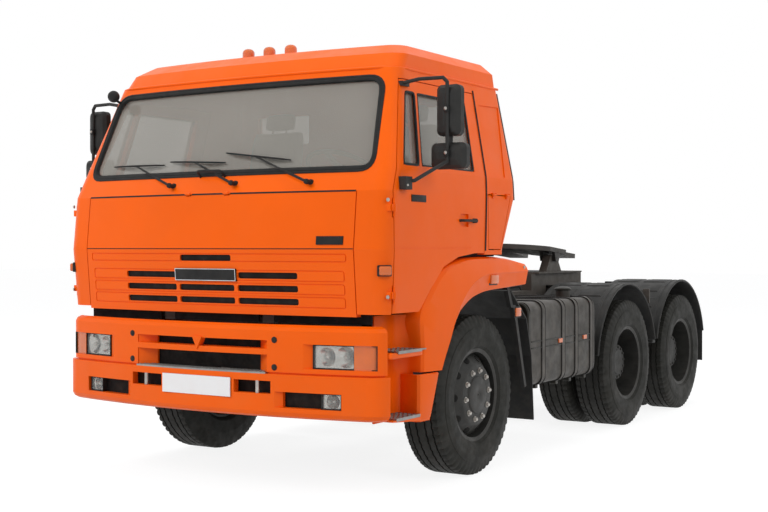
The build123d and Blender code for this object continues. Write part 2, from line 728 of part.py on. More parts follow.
def rear_bogie():
    """Two driving axles, rocking springs, trunnion and its brackets."""
    pieces = []
    for y in (WHEELBASE, WHEELBASE + BOGIE_SPREAD):
        case = tube_x(70, (-600, 600), y, TYRE_RADIUS) + axle_banjo(y)
        spindles = tube_x(SPINDLE_RADIUS - RUNNING_GAP, (-1035, 1035), y, TYRE_RADIUS)
        pieces.append(case + spindles)
    middle = WHEELBASE + BOGIE_SPREAD / 2
    spring = leaf_pack(577, 706, BOGIE_SPREAD / 2 + 40, 110, middle, SPRING_X)
    bracket = block(SPRING_X, (middle - 140, middle + 140), (740, RAIL_BOTTOM))
    trunnion = tube_x(55, (-430, 430), middle, 640)
    hanger = block((SPRING_X[0], SPRING_X[1]), (middle - 60, middle + 60), (600, 760))
    shaft = block((-40, 40), (WHEELBASE, WHEELBASE + BOGIE_SPREAD), (TYRE_RADIUS - 40, TYRE_RADIUS + 40))
    sides = joined([spring, bracket, hanger])
    return joined([*pieces, sides, other_side(sides), trunnion, shaft])


def engine_block():
    """Plain engine and gearbox with the shaft to the first driving axle, and the radiator."""
    engine = block((-330, 330), (-500, 560), (600, 1400))
    gearbox = block((-220, 220), (560, 1250), (640, 1060))
    radiator = block((-340, 340), (-1045, -955), (835, 1380))
    return [engine + gearbox, radiator]


def shaft_line():
    start = Vector(0, 1250, 815)
    end = Vector(0, WHEELBASE - 150, TYRE_RADIUS + 20)
    direction = end - start
    plane = Plane(origin=start, z_dir=direction)
    return extrude(plane * Circle(50), amount=direction.length) - axle_banjo(WHEELBASE)


def bumper_face(z, inset=0, radius=BUMPER_CORNER):
    """Level outline of the bumper's outer face, set back by an inset."""
    front = FRONT_Y + PLATE_THICKNESS + inset
    return plan_section(z, HALF_WIDTH - inset, front, front + BUMPER_BOW, BUMPER_END_Y + 190, radius)


def bumper_band(levels, wall=BUMPER_WALL):
    """Band of the bumper through levels of (height, inset)."""
    outer = loft([bumper_face(z, inset) for z, inset in levels], ruled=True)
    low, high = levels[0][0], levels[-1][0]
    back = min(inset for z, inset in levels) + wall
    inner = extrude(bumper_face(low, back, BUMPER_CORNER - wall), amount=high - low)
    return (outer - inner) & block((-BEYOND, BEYOND), (-1500, BUMPER_END_Y), (low, high))


LAMP_X = (796, 1055)
LAMP_Z = (772, 914)
LAMP_DEPTH = 24
INDICATOR_X = (LAMP_X[1], HALF_WIDTH - 62)
FOG_X = (858, 985)
FOG_Z = (542, 635)
FOG_RECESS_X = (607, 993)
TOW_X = (283, 541)
TOW_Z = (618, 694)
TOW_PIN_X = 436
INTAKE_X = 507
INTAKE_Z = (748, 930)
SLAT_Z = (846, 880)


def lamp_recess(x, z, y, slope):
    """Opening for a lamp between two x limits, with a sloping flank on its inner side."""
    outline = [
        (x[0], LAMP_BACK), (x[0], y), (x[0] - slope, y - slope * 0.7), (x[0] - slope, -1500),
        (x[1], -1500), (x[1], LAMP_BACK),
    ]
    return plan_prism(outline, z)


def intake_cheek():
    """Flank of the middle intake, running inwards behind the bumper's face."""
    x = INTAKE_X
    outline = [
        (x, -1350), (x - 100, -1285), (x - 100, -1270), (x - 87, -1270), (x + 23, -1330), (x + 23, -1345),
    ]
    return plan_prism(outline, (BUMPER_SPLIT + 10, INTAKE_Z[1]))


def upper_bumper():
    """Upper band: round top lip, lamp recesses and the intake with its slat."""
    back = UPPER_SETBACK
    top = BUMPER_TOP
    band = bumper_band([(BUMPER_SPLIT + 10, back), (top - 34, back), (top - 12, back + 8), (top, back + 26)])
    for z in ((BUMPER_SPLIT, SLAT_Z[0]), (SLAT_Z[1], INTAKE_Z[1])):
        band = band - block((-INTAKE_X, INTAKE_X), (-1500, -1300), z)
    recess = lamp_recess((LAMP_X[0], INDICATOR_X[1]), LAMP_Z, -1290, 84)
    band = band - recess - other_side(recess)
    slat = block((-INTAKE_X + 80, INTAKE_X - 80), (-1350, -1290), SLAT_Z)
    emblem = [(-37, 936), (37, 936), (0, 860)]
    face = make_face(Polyline([(x, -1390, z) for x, z in emblem], close=True))
    boss = extrude(face, amount=45, dir=(0, 1, 0))
    return joined([band, slat, boss, *both_sides(intake_cheek())])


def lower_bumper():
    """Lower band: fog lamp recesses, towing openings with their pins."""
    low = BUMPER_BOTTOM
    band = bumper_band([(low, 24), (low + 12, 8), (low + 34, 0), (BUMPER_SPLIT, 0)])
    recess = lamp_recess(FOG_RECESS_X, FOG_Z, -1335, 50)
    tow = block(TOW_X, (-1500, -1200), TOW_Z)
    for cut in both_sides(recess) + both_sides(tow):
        band = band - cut
    pin = tube_z(12, TOW_PIN_X, FRONT_Y + 46, (TOW_Z[0] - 16, TOW_Z[1] + 16))
    return joined([band, *both_sides(pin)])


def bumper():
    """Both bands, the recessed web between them and the brackets to the rails."""
    seam = (BUMPER_SPLIT, BUMPER_SPLIT + 10)
    web = bumper_band([(seam[0], 24), (seam[1], 24)], 21) - block((-TREAD_X, TREAD_X), (-1500, -1300), seam)
    bracket = block((RAIL_OUTER_X - RAIL_FLANGE, RAIL_OUTER_X), (FRONT_Y + 50, RAIL_FRONT), (930, 962))
    return joined([upper_bumper(), lower_bumper(), web, bracket, other_side(bracket)])


def lens(x, z, depth):
    """Slice of the bumper's face behind a given depth, for a lamp in its opening."""
    face = bumper_band([(z[0], depth), (z[1], depth)], 20)
    return face & block(x, (-1500, LAMP_BACK), z)


def front_lamps():
    lamps = [lens(LAMP_X, LAMP_Z, UPPER_SETBACK + LAMP_DEPTH), lens(FOG_X, FOG_Z, 22)]
    return [shape for lamp in lamps for shape in both_sides(lamp)]


def amber_lamps():
    """Indicators beside the headlamps and the side markers of fenders and tank."""
    indicator = lens(INDICATOR_X, LAMP_Z, UPPER_SETBACK + 8)
    fender_mark = block((HALF_WIDTH, HALF_WIDTH + 10), (30, 120), (1250, 1295))
    tank_marks = [block((TANK_X[1], TANK_X[1] + 10), (y - 30, y + 30), (775, 805)) for y in (1290, 1740)]
    return [*both_sides(indicator), *both_sides(fender_mark), *tank_marks]


def number_plate():
    return block((-265, 265), (FRONT_Y, FRONT_Y + PLATE_THICKNESS), (589, 702))


STEPS = [(-1100, -780, 870), (-1120, -730, 486)]


def step_treads():
    """Aluminium treads on the bumper and in the side steps."""
    seam = (BUMPER_SPLIT, BUMPER_SPLIT + 10)
    front = bumper_band([(seam[0], 0), (seam[1], 0)]) & block((-TREAD_X, TREAD_X), (-1500, -1300), seam)
    treads = [front + block((-TREAD_X, TREAD_X), (-1352, -1285), seam)]
    for y0, y1, z in STEPS:
        treads += both_sides(block((FENDER_INNER_X + 10, HALF_WIDTH), (y0, y1), (z, z + 8)))
    return treads


FENDER_INNER_X = 1075

FENDER_OUTLINE = [
    (-1166, 452), (-745, 452), (-645, 720), (-560, 890), (-430, 1030), (-230, 1150), (10, 1198),
    (560, 1222), (560, 1370), (230, 1412), (-168, 1414), (-384, 1392), (-566, 1336), (-724, 1202),
    (-852, 1078), (-1166, 1078),
]


def front_fenders():
    """Arch over the front wheel with the step housing in front of it."""
    skin = side_cutter(FENDER_OUTLINE, 0, (HALF_WIDTH - 30, HALF_WIDTH))
    hollow = side_cutter(FENDER_OUTLINE, -22, (FENDER_INNER_X, HALF_WIDTH - 30))
    shell = side_cutter(FENDER_OUTLINE, 0, (FENDER_INNER_X, HALF_WIDTH)) - hollow
    shell = shell + skin
    for y0, y1, z in STEPS:
        shell = shell - block((FENDER_INNER_X + 10, BEYOND), (y0, y1), (z, z + 150))
        ledge = block((FENDER_INNER_X, HALF_WIDTH), (y0 - 10, y1 + 10), (z - 20, z))
        back = block((FENDER_INNER_X, FENDER_INNER_X + 10), (y0 - 10, y1 + 10), (z - 20, z + 160))
        shell = shell + ledge + back
    bar = block((RAIL_OUTER_X, FENDER_INNER_X), (-830, -790), (860, 900))
    shell = shell + bar
    return both_sides(shell)


def wheel_liners():
    """Black liner round the wheel with its rear flap."""
    outer = [(-640, 700), (-640, 900), (-470, 1080), (-240, 1175), (10, 1196), (400, 1180), (640, 980), (720, 720),
             (760, 270)]
    thick = [(y + (6 if y > 0 else -6), z + 6) for y, z in reversed(outer)]
    liner = side_prism(outer + thick, (660, HALF_WIDTH - 30))
    liner = liner - side_cutter(FENDER_OUTLINE, 0, (FENDER_INNER_X, HALF_WIDTH))
    bar = block((RAIL_OUTER_X, 664), (660, 700), (860, 900))
    return both_sides(liner + bar)


TANK_X = (500, 1180)
TANK_Y = (790, WHEELBASE - 760)
TANK_Z = (492, 1086)
TANK_STRAPS = (1000, 1345, 1585, 1870)


def fuel_tank():
    """Tank with rounded corners, four straps, cap and two brackets."""
    body = fillet(block(TANK_X, TANK_Y, TANK_Z).edges().filter_by(Axis.Y), 70)
    grown = block((TANK_X[0] - 6, TANK_X[1] + 6), TANK_Y, (TANK_Z[0] - 6, TANK_Z[1] + 6))
    grown = fillet(grown.edges().filter_by(Axis.Y), 76)
    for y in TANK_STRAPS:
        body = body + (grown & block((400, 1300), (y - 25, y + 25), (400, 1200)))
    cap = tube_z(55, 975, 1800, (TANK_Z[1], TANK_Z[1] + 60))
    bracket_z = (RAIL_BOTTOM, RAIL_TOP - 40)
    brackets = [block((RAIL_OUTER_X, TANK_X[0]), (y - 40, y + 40), bracket_z) for y in (1000, 1585)]
    return joined([body, cap, *brackets])


def side_boxes():
    """Battery box, air tanks and silencer on the right."""
    battery_y = (1400, WHEELBASE - 690)
    battery = fillet(block((-1150, -560), battery_y, (560, 1060)).edges().filter_by(Axis.Y), 30)
    battery = battery + block((-560, -RAIL_OUTER_X), (1600, 1760), (RAIL_BOTTOM, 1000))
    silencer = tube_x(190, (-1150, -560), 1080, 700)
    silencer = silencer + block((-620, -RAIL_OUTER_X), (1000, 1160), (RAIL_BOTTOM, 880))
    return [battery, silencer]


MUDGUARD_X = (560, 1165)
MUDGUARD_RADIUS = 652


def mudguard(y):
    """Half-round arch over one pair of twin wheels."""
    outer = Circle(MUDGUARD_RADIUS) - Circle(MUDGUARD_RADIUS - 12)
    ring = Pos(MUDGUARD_X[0], y, TYRE_RADIUS) * extrude(Plane.YZ * outer, amount=MUDGUARD_X[1] - MUDGUARD_X[0])
    return ring & block(MUDGUARD_X, (y - 700, y + 700), (TYRE_RADIUS + 150, 1300))


def rear_mudguards():
    """Arches over the rear wheels, their posts and the last flap."""
    arches = []
    for y in (WHEELBASE, WHEELBASE + BOGIE_SPREAD):
        post = block((RAIL_OUTER_X, MUDGUARD_X[1] - 60), (y - 25, y + 25), (TYRE_RADIUS + MUDGUARD_RADIUS - 10, 1200))
        drop = block((RAIL_OUTER_X, RAIL_OUTER_X + 30), (y - 25, y + 25), (RAIL_TOP - 120, 1200))
        arches.append(mudguard(y) + post + drop)
    end_y = WHEELBASE + BOGIE_SPREAD + 618
    flap = block(MUDGUARD_X, (end_y, end_y + 8), (390, TYRE_RADIUS + 180))
    side = joined([*arches, flap])
    return both_sides(side)


def tail_lamps():
    lamp = block((720, 1060), (TAIL_Y - 55, TAIL_Y), (850, 970))
    bar = block((RAIL_OUTER_X - RAIL_FLANGE, 1060), (TAIL_Y - 100, TAIL_Y - 55), (880, 940))
    return both_sides(lamp), both_sides(bar)


def fifth_wheel_base():
    """Mounting plate on the rails with the two bearing pedestals."""
    angles = block((RAIL_OUTER_X - 90, RAIL_OUTER_X), (FIFTH_Y - 520, FIFTH_Y + 520), (RAIL_TOP, 1250))
    plate = block((-470, 470), (FIFTH_Y - 450, FIFTH_Y + 450), (1250, 1262))
    stand = side_prism([(FIFTH_Y - 160, 1262), (FIFTH_Y + 160, 1262), (FIFTH_Y + 60, FIFTH_PIVOT_Z + 20),
                        (FIFTH_Y - 60, FIFTH_PIVOT_Z + 20)], (330, 400))
    stand = stand - tube_x(FIFTH_PIN, (300, 450), FIFTH_Y, FIFTH_PIVOT_Z)
    return joined([angles, other_side(angles), plate, stand, other_side(stand)])


def fifth_wheel_plate():
    """Coupling plate with its throat, pivot ears and pins, tilted to its rest."""
    disc = Pos(0, 0, 40) * extrude(Circle(470), amount=40)
    disc = disc & block((-440, 440), (-480, 480), (0, 100))
    horns = block((-330, 330), (200, 620), (40, 80))
    plate = disc + horns
    throat = [(-24, 0), (24, 0), (24, 120), (150, 640), (-150, 640), (-24, 120)]
    cut = extrude(make_face(Polyline([(x, y, 0) for x, y in throat], close=True)), amount=120)
    plate = plate - cut - tube_z(KINGPIN_RADIUS, 0, 0, (0, 120))
    ears = []
    for x in ((285, 325), (405, 435)):
        ear = side_prism([(-60, 42), (60, 42), (30, -35), (-30, -35)], x)
        ears.append(ear)
    pin = tube_x(FIFTH_PIN - RUNNING_GAP, (285, 435), 0, 0)
    left = joined([*ears, pin])
    whole = joined([plate, left, other_side(left)])
    return Pos(0, FIFTH_Y, FIFTH_PIVOT_Z) * Rot(-FIFTH_TILT, 0, 0) * whole


def wheel_pair(name, tyre_shape, rim_shape, x, y):
    """Write a tyre and its wheel for both sides."""
    place = Pos(x, y, TYRE_RADIUS)
    export(place * tyre_shape, f"{name}_tyre_left")
    export(other_side(place * tyre_shape), f"{name}_tyre_right")
    export(place * rim_shape, f"{name}_wheel_left")
    export(other_side(place * rim_shape), f"{name}_wheel_right")


def locker_lid():
    """Thin pressed lid of the side locker with the eyes of its top hinge."""
    skin = block((HALF_WIDTH - LID_THICKNESS, BEYOND), (0, CAB_REAR), (1400, 1900))
    lid = SHELL & side_cutter(LOCKER_OUTLINE, 0) & skin
    for y in LOCKER_HINGE_Y:
        leaf = block((HALF_WIDTH - 8, LOCKER_HINGE[0]), (y - 16, y + 16), (LOCKER_HINGE[1] - 20, LOCKER_HINGE[1]))
        lid = lid + leaf + tube_y(LOCKER_EYE, LOCKER_HINGE[0], (y - 16, y + 16), LOCKER_HINGE[1])
        lid = lid - tube_y(LOCKER_PIN + RUNNING_GAP, LOCKER_HINGE[0], (y - 20, y + 20), LOCKER_HINGE[1])
    return lid


def locker_pins():
    """Pins of the locker's hinge, each held between two lugs on the side wall."""
    pins = []
    for y in LOCKER_HINGE_Y:
        pin = tube_y(LOCKER_PIN, LOCKER_HINGE[0], (y - 26, y + 26), LOCKER_HINGE[1])
        for end in (y - 22, y + 22):
            lug_y = (end - 4, end + 4)
            lug = block((HALF_WIDTH + 1, LOCKER_HINGE[0] + 6), lug_y, (LOCKER_HINGE[1] - 6, LOCKER_HINGE[1] + 12))
            root = block((HALF_WIDTH - 16, HALF_WIDTH + 1), lug_y, (LOCKER_HINGE[1] + 5, LOCKER_HINGE[1] + 12))
            pin = joined([pin, lug, root])
        pins.append(pin)
    return joined(pins)


os.makedirs("parts", exist_ok=True)

export(ladder_frame(), "ladder_frame")
export(front_axle(), "front_axle")
export(rear_bogie(), "rear_bogie")
export([*engine_block(), shaft_line()], "engine_block")
export(bumper(), "bumper")
export(front_lamps(), "front_lamps")
export(amber_lamps(), "amber_lamps")
export(number_plate(), "number_plate")
export(front_fenders(), "front_fenders")
export(step_treads(), "step_treads")
export(wheel_liners(), "wheel_liners")
export(fuel_tank(), "fuel_tank")
export(side_boxes(), "side_boxes")
export(rear_mudguards(), "rear_mudguards")
lamp_pieces, lamp_bars = tail_lamps()
export(lamp_pieces, "tail_lamps")
export(lamp_bars, "tail_bars")
export(fifth_wheel_base(), "fifth_wheel_base")
export(fifth_wheel_plate(), "fifth_wheel_plate")
export(knuckle(), "knuckle_left")
export(other_side(knuckle()), "knuckle_right")
wheel_pair("front", tyre(), front_wheel(), FRONT_WHEEL_X, 0)
wheel_pair("middle", twin_tyres(), rear_wheels(), REAR_HUB_X, WHEELBASE)
wheel_pair("rear", twin_tyres(), rear_wheels(), REAR_HUB_X, WHEELBASE + BOGIE_SPREAD)

export(cab_floor(), "cab_floor")
export(cab_front(), "cab_front")
export(cab_sides(), "cab_sides")
export(cab_rear(), "cab_rear")
export(cab_roof(), "cab_roof")
export(cab_glass(), "cab_glass")
export(seats(), "seats")
export(dashboard(), "dashboard")
export(steering_wheel(), "steering_wheel")
export(cab_trim(), "cab_trim")
export(roof_lamps(), "roof_lamps")
export(front_panel(), "front_panel")
export(door(), "door_left")
export(other_side(door()), "door_right")
export(door_glass(), "door_glass_left")
export(other_side(door_glass()), "door_glass_right")
export(mirrors(), "mirrors_left")
export(other_side(mirrors()), "mirrors_right")
export(locker_lid(), "locker_lid_left")
export(other_side(locker_lid()), "locker_lid_right")
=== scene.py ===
import bpy
import bmesh
import json
import math
from mathutils import Matrix, Vector


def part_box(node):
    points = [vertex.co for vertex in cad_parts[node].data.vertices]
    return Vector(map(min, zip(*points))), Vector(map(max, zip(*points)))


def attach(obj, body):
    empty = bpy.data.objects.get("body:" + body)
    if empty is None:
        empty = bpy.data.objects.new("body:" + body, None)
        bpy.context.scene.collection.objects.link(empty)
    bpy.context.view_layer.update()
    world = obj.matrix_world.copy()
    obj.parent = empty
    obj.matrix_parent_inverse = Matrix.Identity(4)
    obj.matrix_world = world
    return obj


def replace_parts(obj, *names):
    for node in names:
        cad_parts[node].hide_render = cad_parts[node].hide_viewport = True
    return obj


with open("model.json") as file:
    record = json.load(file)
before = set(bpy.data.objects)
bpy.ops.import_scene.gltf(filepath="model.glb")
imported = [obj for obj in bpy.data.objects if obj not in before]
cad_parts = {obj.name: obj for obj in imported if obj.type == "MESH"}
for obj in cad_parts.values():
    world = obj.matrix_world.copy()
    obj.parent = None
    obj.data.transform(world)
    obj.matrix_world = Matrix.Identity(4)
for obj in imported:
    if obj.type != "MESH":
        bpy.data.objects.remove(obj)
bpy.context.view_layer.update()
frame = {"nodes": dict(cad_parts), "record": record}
NODES = frame["nodes"]

# Metres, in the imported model's frame: the front of the truck looks along -Y, its left side is +X.
# Stations along the truck are taken from the front axle, as a designer would.
AXLE_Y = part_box("front_tyre_left")[0][1] / 2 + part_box("front_tyre_left")[1][1] / 2

# Sizes that several pieces share, in millimetres, as in the part's source.
HALF_WIDTH = 1250
WHEEL_RADIUS = 518
MIDDLE_AXLE, REAR_AXLE = 2690, 4010
RAIL_X = 432
SIDES = ((1, "left"), (-1, "right"))


def at(x, y, z):
    """Point given in millimetres from the front axle's middle, on the ground."""
    return Vector((x / 1000, y / 1000 + AXLE_Y, z / 1000))


# ---------------------------------------------------------------- materials

def linear(red, green, blue):
    """Linear colour from 0-255 screen values."""
    return tuple(((c / 255 + 0.055) / 1.055) ** 2.4 if c > 10 else c / 255 / 12.92 for c in (red, green, blue))


def shaded(color, factor):
    """Darker or lighter colour, opaque."""
    return tuple(min(1.0, c * factor) for c in color) + (1.0,)


def add_node(tree, kind, inputs=(), **settings):
    """New node; an input given as a socket is linked, and any other value is set."""
    made = tree.nodes.new(kind)
    for key, value in settings.items():
        setattr(made, key, value)
    for key, value in dict(inputs).items():
        if isinstance(value, bpy.types.NodeSocket):
            tree.links.new(value, made.inputs[key])
        else:
            made.inputs[key].default_value = value
    return made


class Surface:
    """A node material built up in steps round one Principled shader."""

    def __init__(self, name, rough, metallic=0.0):
        self.material = bpy.data.materials.new(name)
        self.material.use_nodes = True
        self.tree = self.material.node_tree
        self.shader = self.tree.nodes["Principled BSDF"]
        self.set(Roughness=rough, Metallic=metallic)
        self.coords = self.node("ShaderNodeTexCoord").outputs["Object"]
        self.color = None
        self.height = None

    def node(self, kind, inputs=(), **settings):
        return add_node(self.tree, kind, inputs, **settings)

    def link(self, source, target):
        self.tree.links.new(source, target)

    def noise(self, scale, detail=4.0, rough=0.55, stretch=(1, 1, 1)):
        mapping = self.node("ShaderNodeMapping", {"Scale": stretch, "Vector": self.coords})
        made = self.node("ShaderNodeTexNoise", {"Scale": scale, "Detail": detail, "Roughness": rough,
                                                "Vector": mapping.outputs["Vector"]})
        return made.outputs["Fac"]

    def wave(self, scale, distortion=0.0, direction="X"):
        made = self.node("ShaderNodeTexWave", {"Scale": scale, "Distortion": distortion, "Vector": self.coords},
                         bands_direction=direction)
        return made.outputs["Fac"]

    def ramp(self, source, low, high, start=0.35, end=0.65):
        made = self.node("ShaderNodeValToRGB", {"Fac": source})
        first, last = made.color_ramp.elements
        first.position, first.color = start, low
        last.position, last.color = end, high
        return made.outputs["Color"]

    def mask(self, source, amount, start, end):
        """Grey from nothing to an amount."""
        return self.ramp(source, (0, 0, 0, 1), (amount, amount, amount, 1), start, end)

    def remap(self, source, start, end, low, high):
        """Value that runs from low to high as the source runs from start to end."""
        made = self.node("ShaderNodeMapRange", {"From Min": start, "From Max": end, "To Min": low, "To Max": high,
                                                "Value": source})
        return made.outputs["Result"]

    def tint(self, factor, color):
        """The colour so far, mixed with another one by a factor."""
        mix = self.node("ShaderNodeMix", {"B": (*color, 1.0), "Factor": factor, "A": self.color}, data_type="RGBA")
        self.color = mix.outputs["Result"]
        return self

    def base(self, color, spread=0.06, scale=2.5):
        """Main colour with a soft cloudy variation."""
        self.color = self.ramp(self.noise(scale), shaded(color, 1 - spread), shaded(color, 1 + spread))
        return self

    def dust(self, color, amount, scale=9.0, top=0.0, bottom=0.0):
        """Dust in patches, thicker towards the ground where top and bottom are given."""
        patches = self.mask(self.noise(scale, 7.0, 0.65), amount, 0.42, 0.72)
        if top > bottom:
            height = self.node("ShaderNodeSeparateXYZ", {"Vector": self.coords}).outputs["Z"]
            fade = self.remap(height, top, bottom, 0.25, 1.0)
            patches = self.node("ShaderNodeMath", {0: patches, 1: fade}, operation="MULTIPLY").outputs["Value"]
        return self.tint(patches, color)

    def worn_edges(self, color, amount=0.5):
        """Lighter, rubbed edges from the surface's pointiness."""
        geometry = self.node("ShaderNodeNewGeometry")
        return self.tint(self.mask(geometry.outputs["Pointiness"], amount, 0.52, 0.6), color)

    def rough_patches(self, low, high, scale=14.0):
        """Roughness that varies between two values."""
        patches = self.noise(scale, 6.0, 0.6)
        self.link(self.remap(patches, 0.3, 0.7, low, high), self.shader.inputs["Roughness"])
        return self

    def bump(self, source, distance, strength=1.0):
        """Relief on top of the relief so far."""
        inputs = {"Distance": distance, "Strength": strength, "Height": source}
        if self.height is not None:
            inputs["Normal"] = self.height
        self.height = self.node("ShaderNodeBump", inputs).outputs["Normal"]
        return self

    def set(self, **values):
        for key, value in values.items():
            self.shader.inputs[key.replace("_", " ")].default_value = value
        return self

    def done(self):
        if self.color is not None:
            self.link(self.color, self.shader.inputs["Base Color"])
        if self.height is not None:
            self.link(self.height, self.shader.inputs["Normal"])
        return self.material


DUST = linear(150, 140, 128)


def paint(name, color, rough=0.28, coat=0.35, spread=0.03):
    """Sprayed enamel: faint clouds, orange peel and a light road film low down."""
    surface = Surface(name, rough).base(color, spread, 1.6)
    surface.dust(linear(190, 120, 70), 0.10, 5.0, 1.3, 0.3)
    surface.bump(surface.noise(160.0, 2.0), 0.0003, 0.35)
    surface.bump(surface.noise(7.0, 2.0), 0.0012, 0.25)
    surface.rough_patches(rough * 0.85, rough * 1.25, 6.0)
    return surface.set(Coat_Weight=coat, Coat_Roughness=0.12, Specular_IOR_Level=0.2).done()


def plastic(name, color, rough=0.55, grain=900.0):
    """Moulded grained plastic."""
    surface = Surface(name, rough).base(color, 0.12, 4.0)
    surface.dust(DUST, 0.10, 11.0, 1.2, 0.2)
    surface.bump(surface.noise(grain, 3.0), 0.0004, 0.5)
    surface.rough_patches(rough * 0.85, min(1.0, rough * 1.2))
    return surface.set(Specular_IOR_Level=0.3).done()


def chassis_paint(name, color, dust=0.2):
    """Sprayed underbody paint with dust and rubbed edges."""
    surface = Surface(name, 0.5).base(color, 0.15, 5.0)
    surface.dust(DUST, dust, 10.0, 1.3, 0.3)
    surface.worn_edges(linear(120, 112, 104), dust)
    surface.bump(surface.noise(120.0, 5.0), 0.0008, 0.4)
    surface.rough_patches(0.4, 0.65)
    return surface.set(Specular_IOR_Level=0.35).done()


def rubber(name, color, dust=0.4):
    """Tyre rubber, dusty towards the ground."""
    surface = Surface(name, 0.72).base(color, 0.18, 6.0)
    surface.dust(DUST, dust, 8.0, 1.1, 0.0)
    surface.bump(surface.noise(220.0, 5.0), 0.0006, 0.5)
    surface.rough_patches(0.6, 0.85)
    return surface.set(Specular_IOR_Level=0.35).done()


def clear_glass(name, color, alpha, rough=0.03):
    """Tinted pane that lets the view through, with a film of dust."""
    surface = Surface(name, rough).base(color, 0.05, 2.0)
    surface.bump(surface.noise(1.3, 2.0), 0.002, 0.08)
    surface.rough_patches(0.02, 0.06, 3.0)
    return surface.set(Alpha=alpha, Specular_IOR_Level=0.6).done()


def lens(name, color, ribs=90.0, transmission=0.5):
    """Moulded lamp lens with fine flutes."""
    surface = Surface(name, 0.12).base(color, 0.08, 8.0)
    surface.bump(surface.wave(ribs), 0.0015, 0.5)
    return surface.set(Transmission_Weight=transmission, Coat_Weight=0.6, Coat_Roughness=0.05).done()


def metal(name, color, rough, brush=(1, 1, 1)):
    """Bare metal with brushing and dull patches."""
    surface = Surface(name, rough, 0.9).base(color, 0.15, 12.0)
    surface.dust(DUST, 0.2, 14.0)
    surface.bump(surface.noise(300.0, 3.0, 0.6, brush), 0.0004, 0.5)
    surface.rough_patches(rough * 0.8, min(1.0, rough * 1.4))
    return surface.done()


def cloth(name, color):
    """Woven seat cloth."""
    surface = Surface(name, 0.85).base(color, 0.14, 9.0)
    for direction in ("X", "Z"):
        surface.bump(surface.wave(260.0, 1.5, direction), 0.0007, 0.6)
    return surface.set(Sheen_Weight=0.3).done()


def bright(name, color, rough):
    """Vacuum-plated reflector with a faint ripple."""
    surface = Surface(name, rough, 1.0).base(color, 0.08, 30.0)
    surface.bump(surface.noise(60.0, 2.0), 0.0008, 0.3)
    return surface.done()


ORANGE = paint("orange_enamel", linear(243, 96, 0), 0.38, 0.05)
DARK = chassis_paint("underbody_paint", linear(58, 55, 51))
TANK = plastic("tank_finish", linear(26, 25, 19), 0.4, 500.0)
BLACK = plastic("black_moulding", linear(38, 38, 37))
TYRE = rubber("tyre_rubber", linear(22, 22, 18), 0.05)
WHEEL = chassis_paint("wheel_enamel", linear(40, 40, 38), 0.05)
GREASE = chassis_paint("coupling_steel", linear(40, 39, 38))
GLASS = clear_glass("tinted_glass", linear(164, 160, 151), 0.5)
AMBER = lens("amber_lens", linear(216, 98, 0), 110.0, 0.0)
RED = lens("red_lens", linear(190, 20, 16), 110.0, 0.2)
LAMP = lens("lamp_glass", linear(215, 218, 216), 70.0, 0.35)
SEAT = cloth("seat_cloth", linear(62, 62, 64))
TREAD = metal("tread_plate", linear(150, 150, 148), 0.4)
WHITE = paint("plate_white", linear(236, 236, 236), 0.35, 0.1, 0.01)
SEAL = plastic("rubber_seal", linear(26, 26, 26), 0.6)
MIRROR = metal("mirror_silver", linear(200, 205, 208), 0.06)
SHADOW = plastic("shadow_black", linear(12, 12, 12), 0.8)
CHROME = bright("reflector", linear(172, 170, 164), 0.16)
COVER = clear_glass("lamp_cover", linear(225, 228, 226), 0.13)
STEEL = metal("bare_steel", linear(178, 174, 168), 0.36)

FINISH = {
    "orange_paint": ORANGE, "chassis_paint": DARK, "wheel_paint": WHEEL, "black_plastic": BLACK,
    "tyre_rubber": TYRE, "seat_fabric": SEAT, "lamp_glass": LAMP, "window_glass": GLASS, "amber_lens": AMBER,
    "red_lens": RED, "plate_white": WHITE, "tread_metal": TREAD, "cast_steel": GREASE,
}


def finish_nodes():
    """Give every CAD node the material of its slot."""
    slots = {row["node"]: row["material_slot"] for row in frame["record"]["subparts"]}
    for name, obj in NODES.items():
        obj.data.materials.clear()
        obj.data.materials.append(FINISH[slots[name]])


finish_nodes()

# ---------------------------------------------------------------- mesh helpers

def loose_mesh(name, grid, material, angle=35):
    """Mesh from a bmesh, smooth up to an angle."""
    bmesh.ops.recalc_face_normals(grid, faces=grid.faces)
    mesh = bpy.data.meshes.new(name)
    grid.to_mesh(mesh)
    grid.free()
    for polygon in mesh.polygons:
        polygon.use_smooth = True
    mesh.set_sharp_from_angle(angle=math.radians(angle))
    mesh.materials.append(material)
    return mesh


def placed(name, mesh, body):
    """Object of a mesh that rides on a body."""
    piece = bpy.data.objects.new(name, mesh)
    bpy.context.collection.objects.link(piece)
    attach(piece, body)
    return piece


def finished(name, grid, material, body, angle=35):
    """Object from a bmesh that is smooth up to an angle and rides on a body."""
    return placed(name, loose_mesh(name, grid, material, angle), body)


def place_mesh(name, mesh, where, body, mirrored=False):
    """Another copy of a finished mesh, on its own body."""
    mesh = mesh.copy()
    if mirrored:
        mesh.transform(Matrix.Scale(-1, 4, (1, 0, 0)))
        mesh.flip_normals()
    mesh.transform(Matrix.Translation(at(*where)))
    return placed(name, mesh, body)


def on_side(side, limits):
    """Limits given for the left side, as they are or mirrored."""
    return sorted((side * limits[0], side * limits[1]))


def circle(count, start=0.0):
    """Angles evenly round a full turn."""
    return [2 * math.pi * k / count + start for k in range(count)]


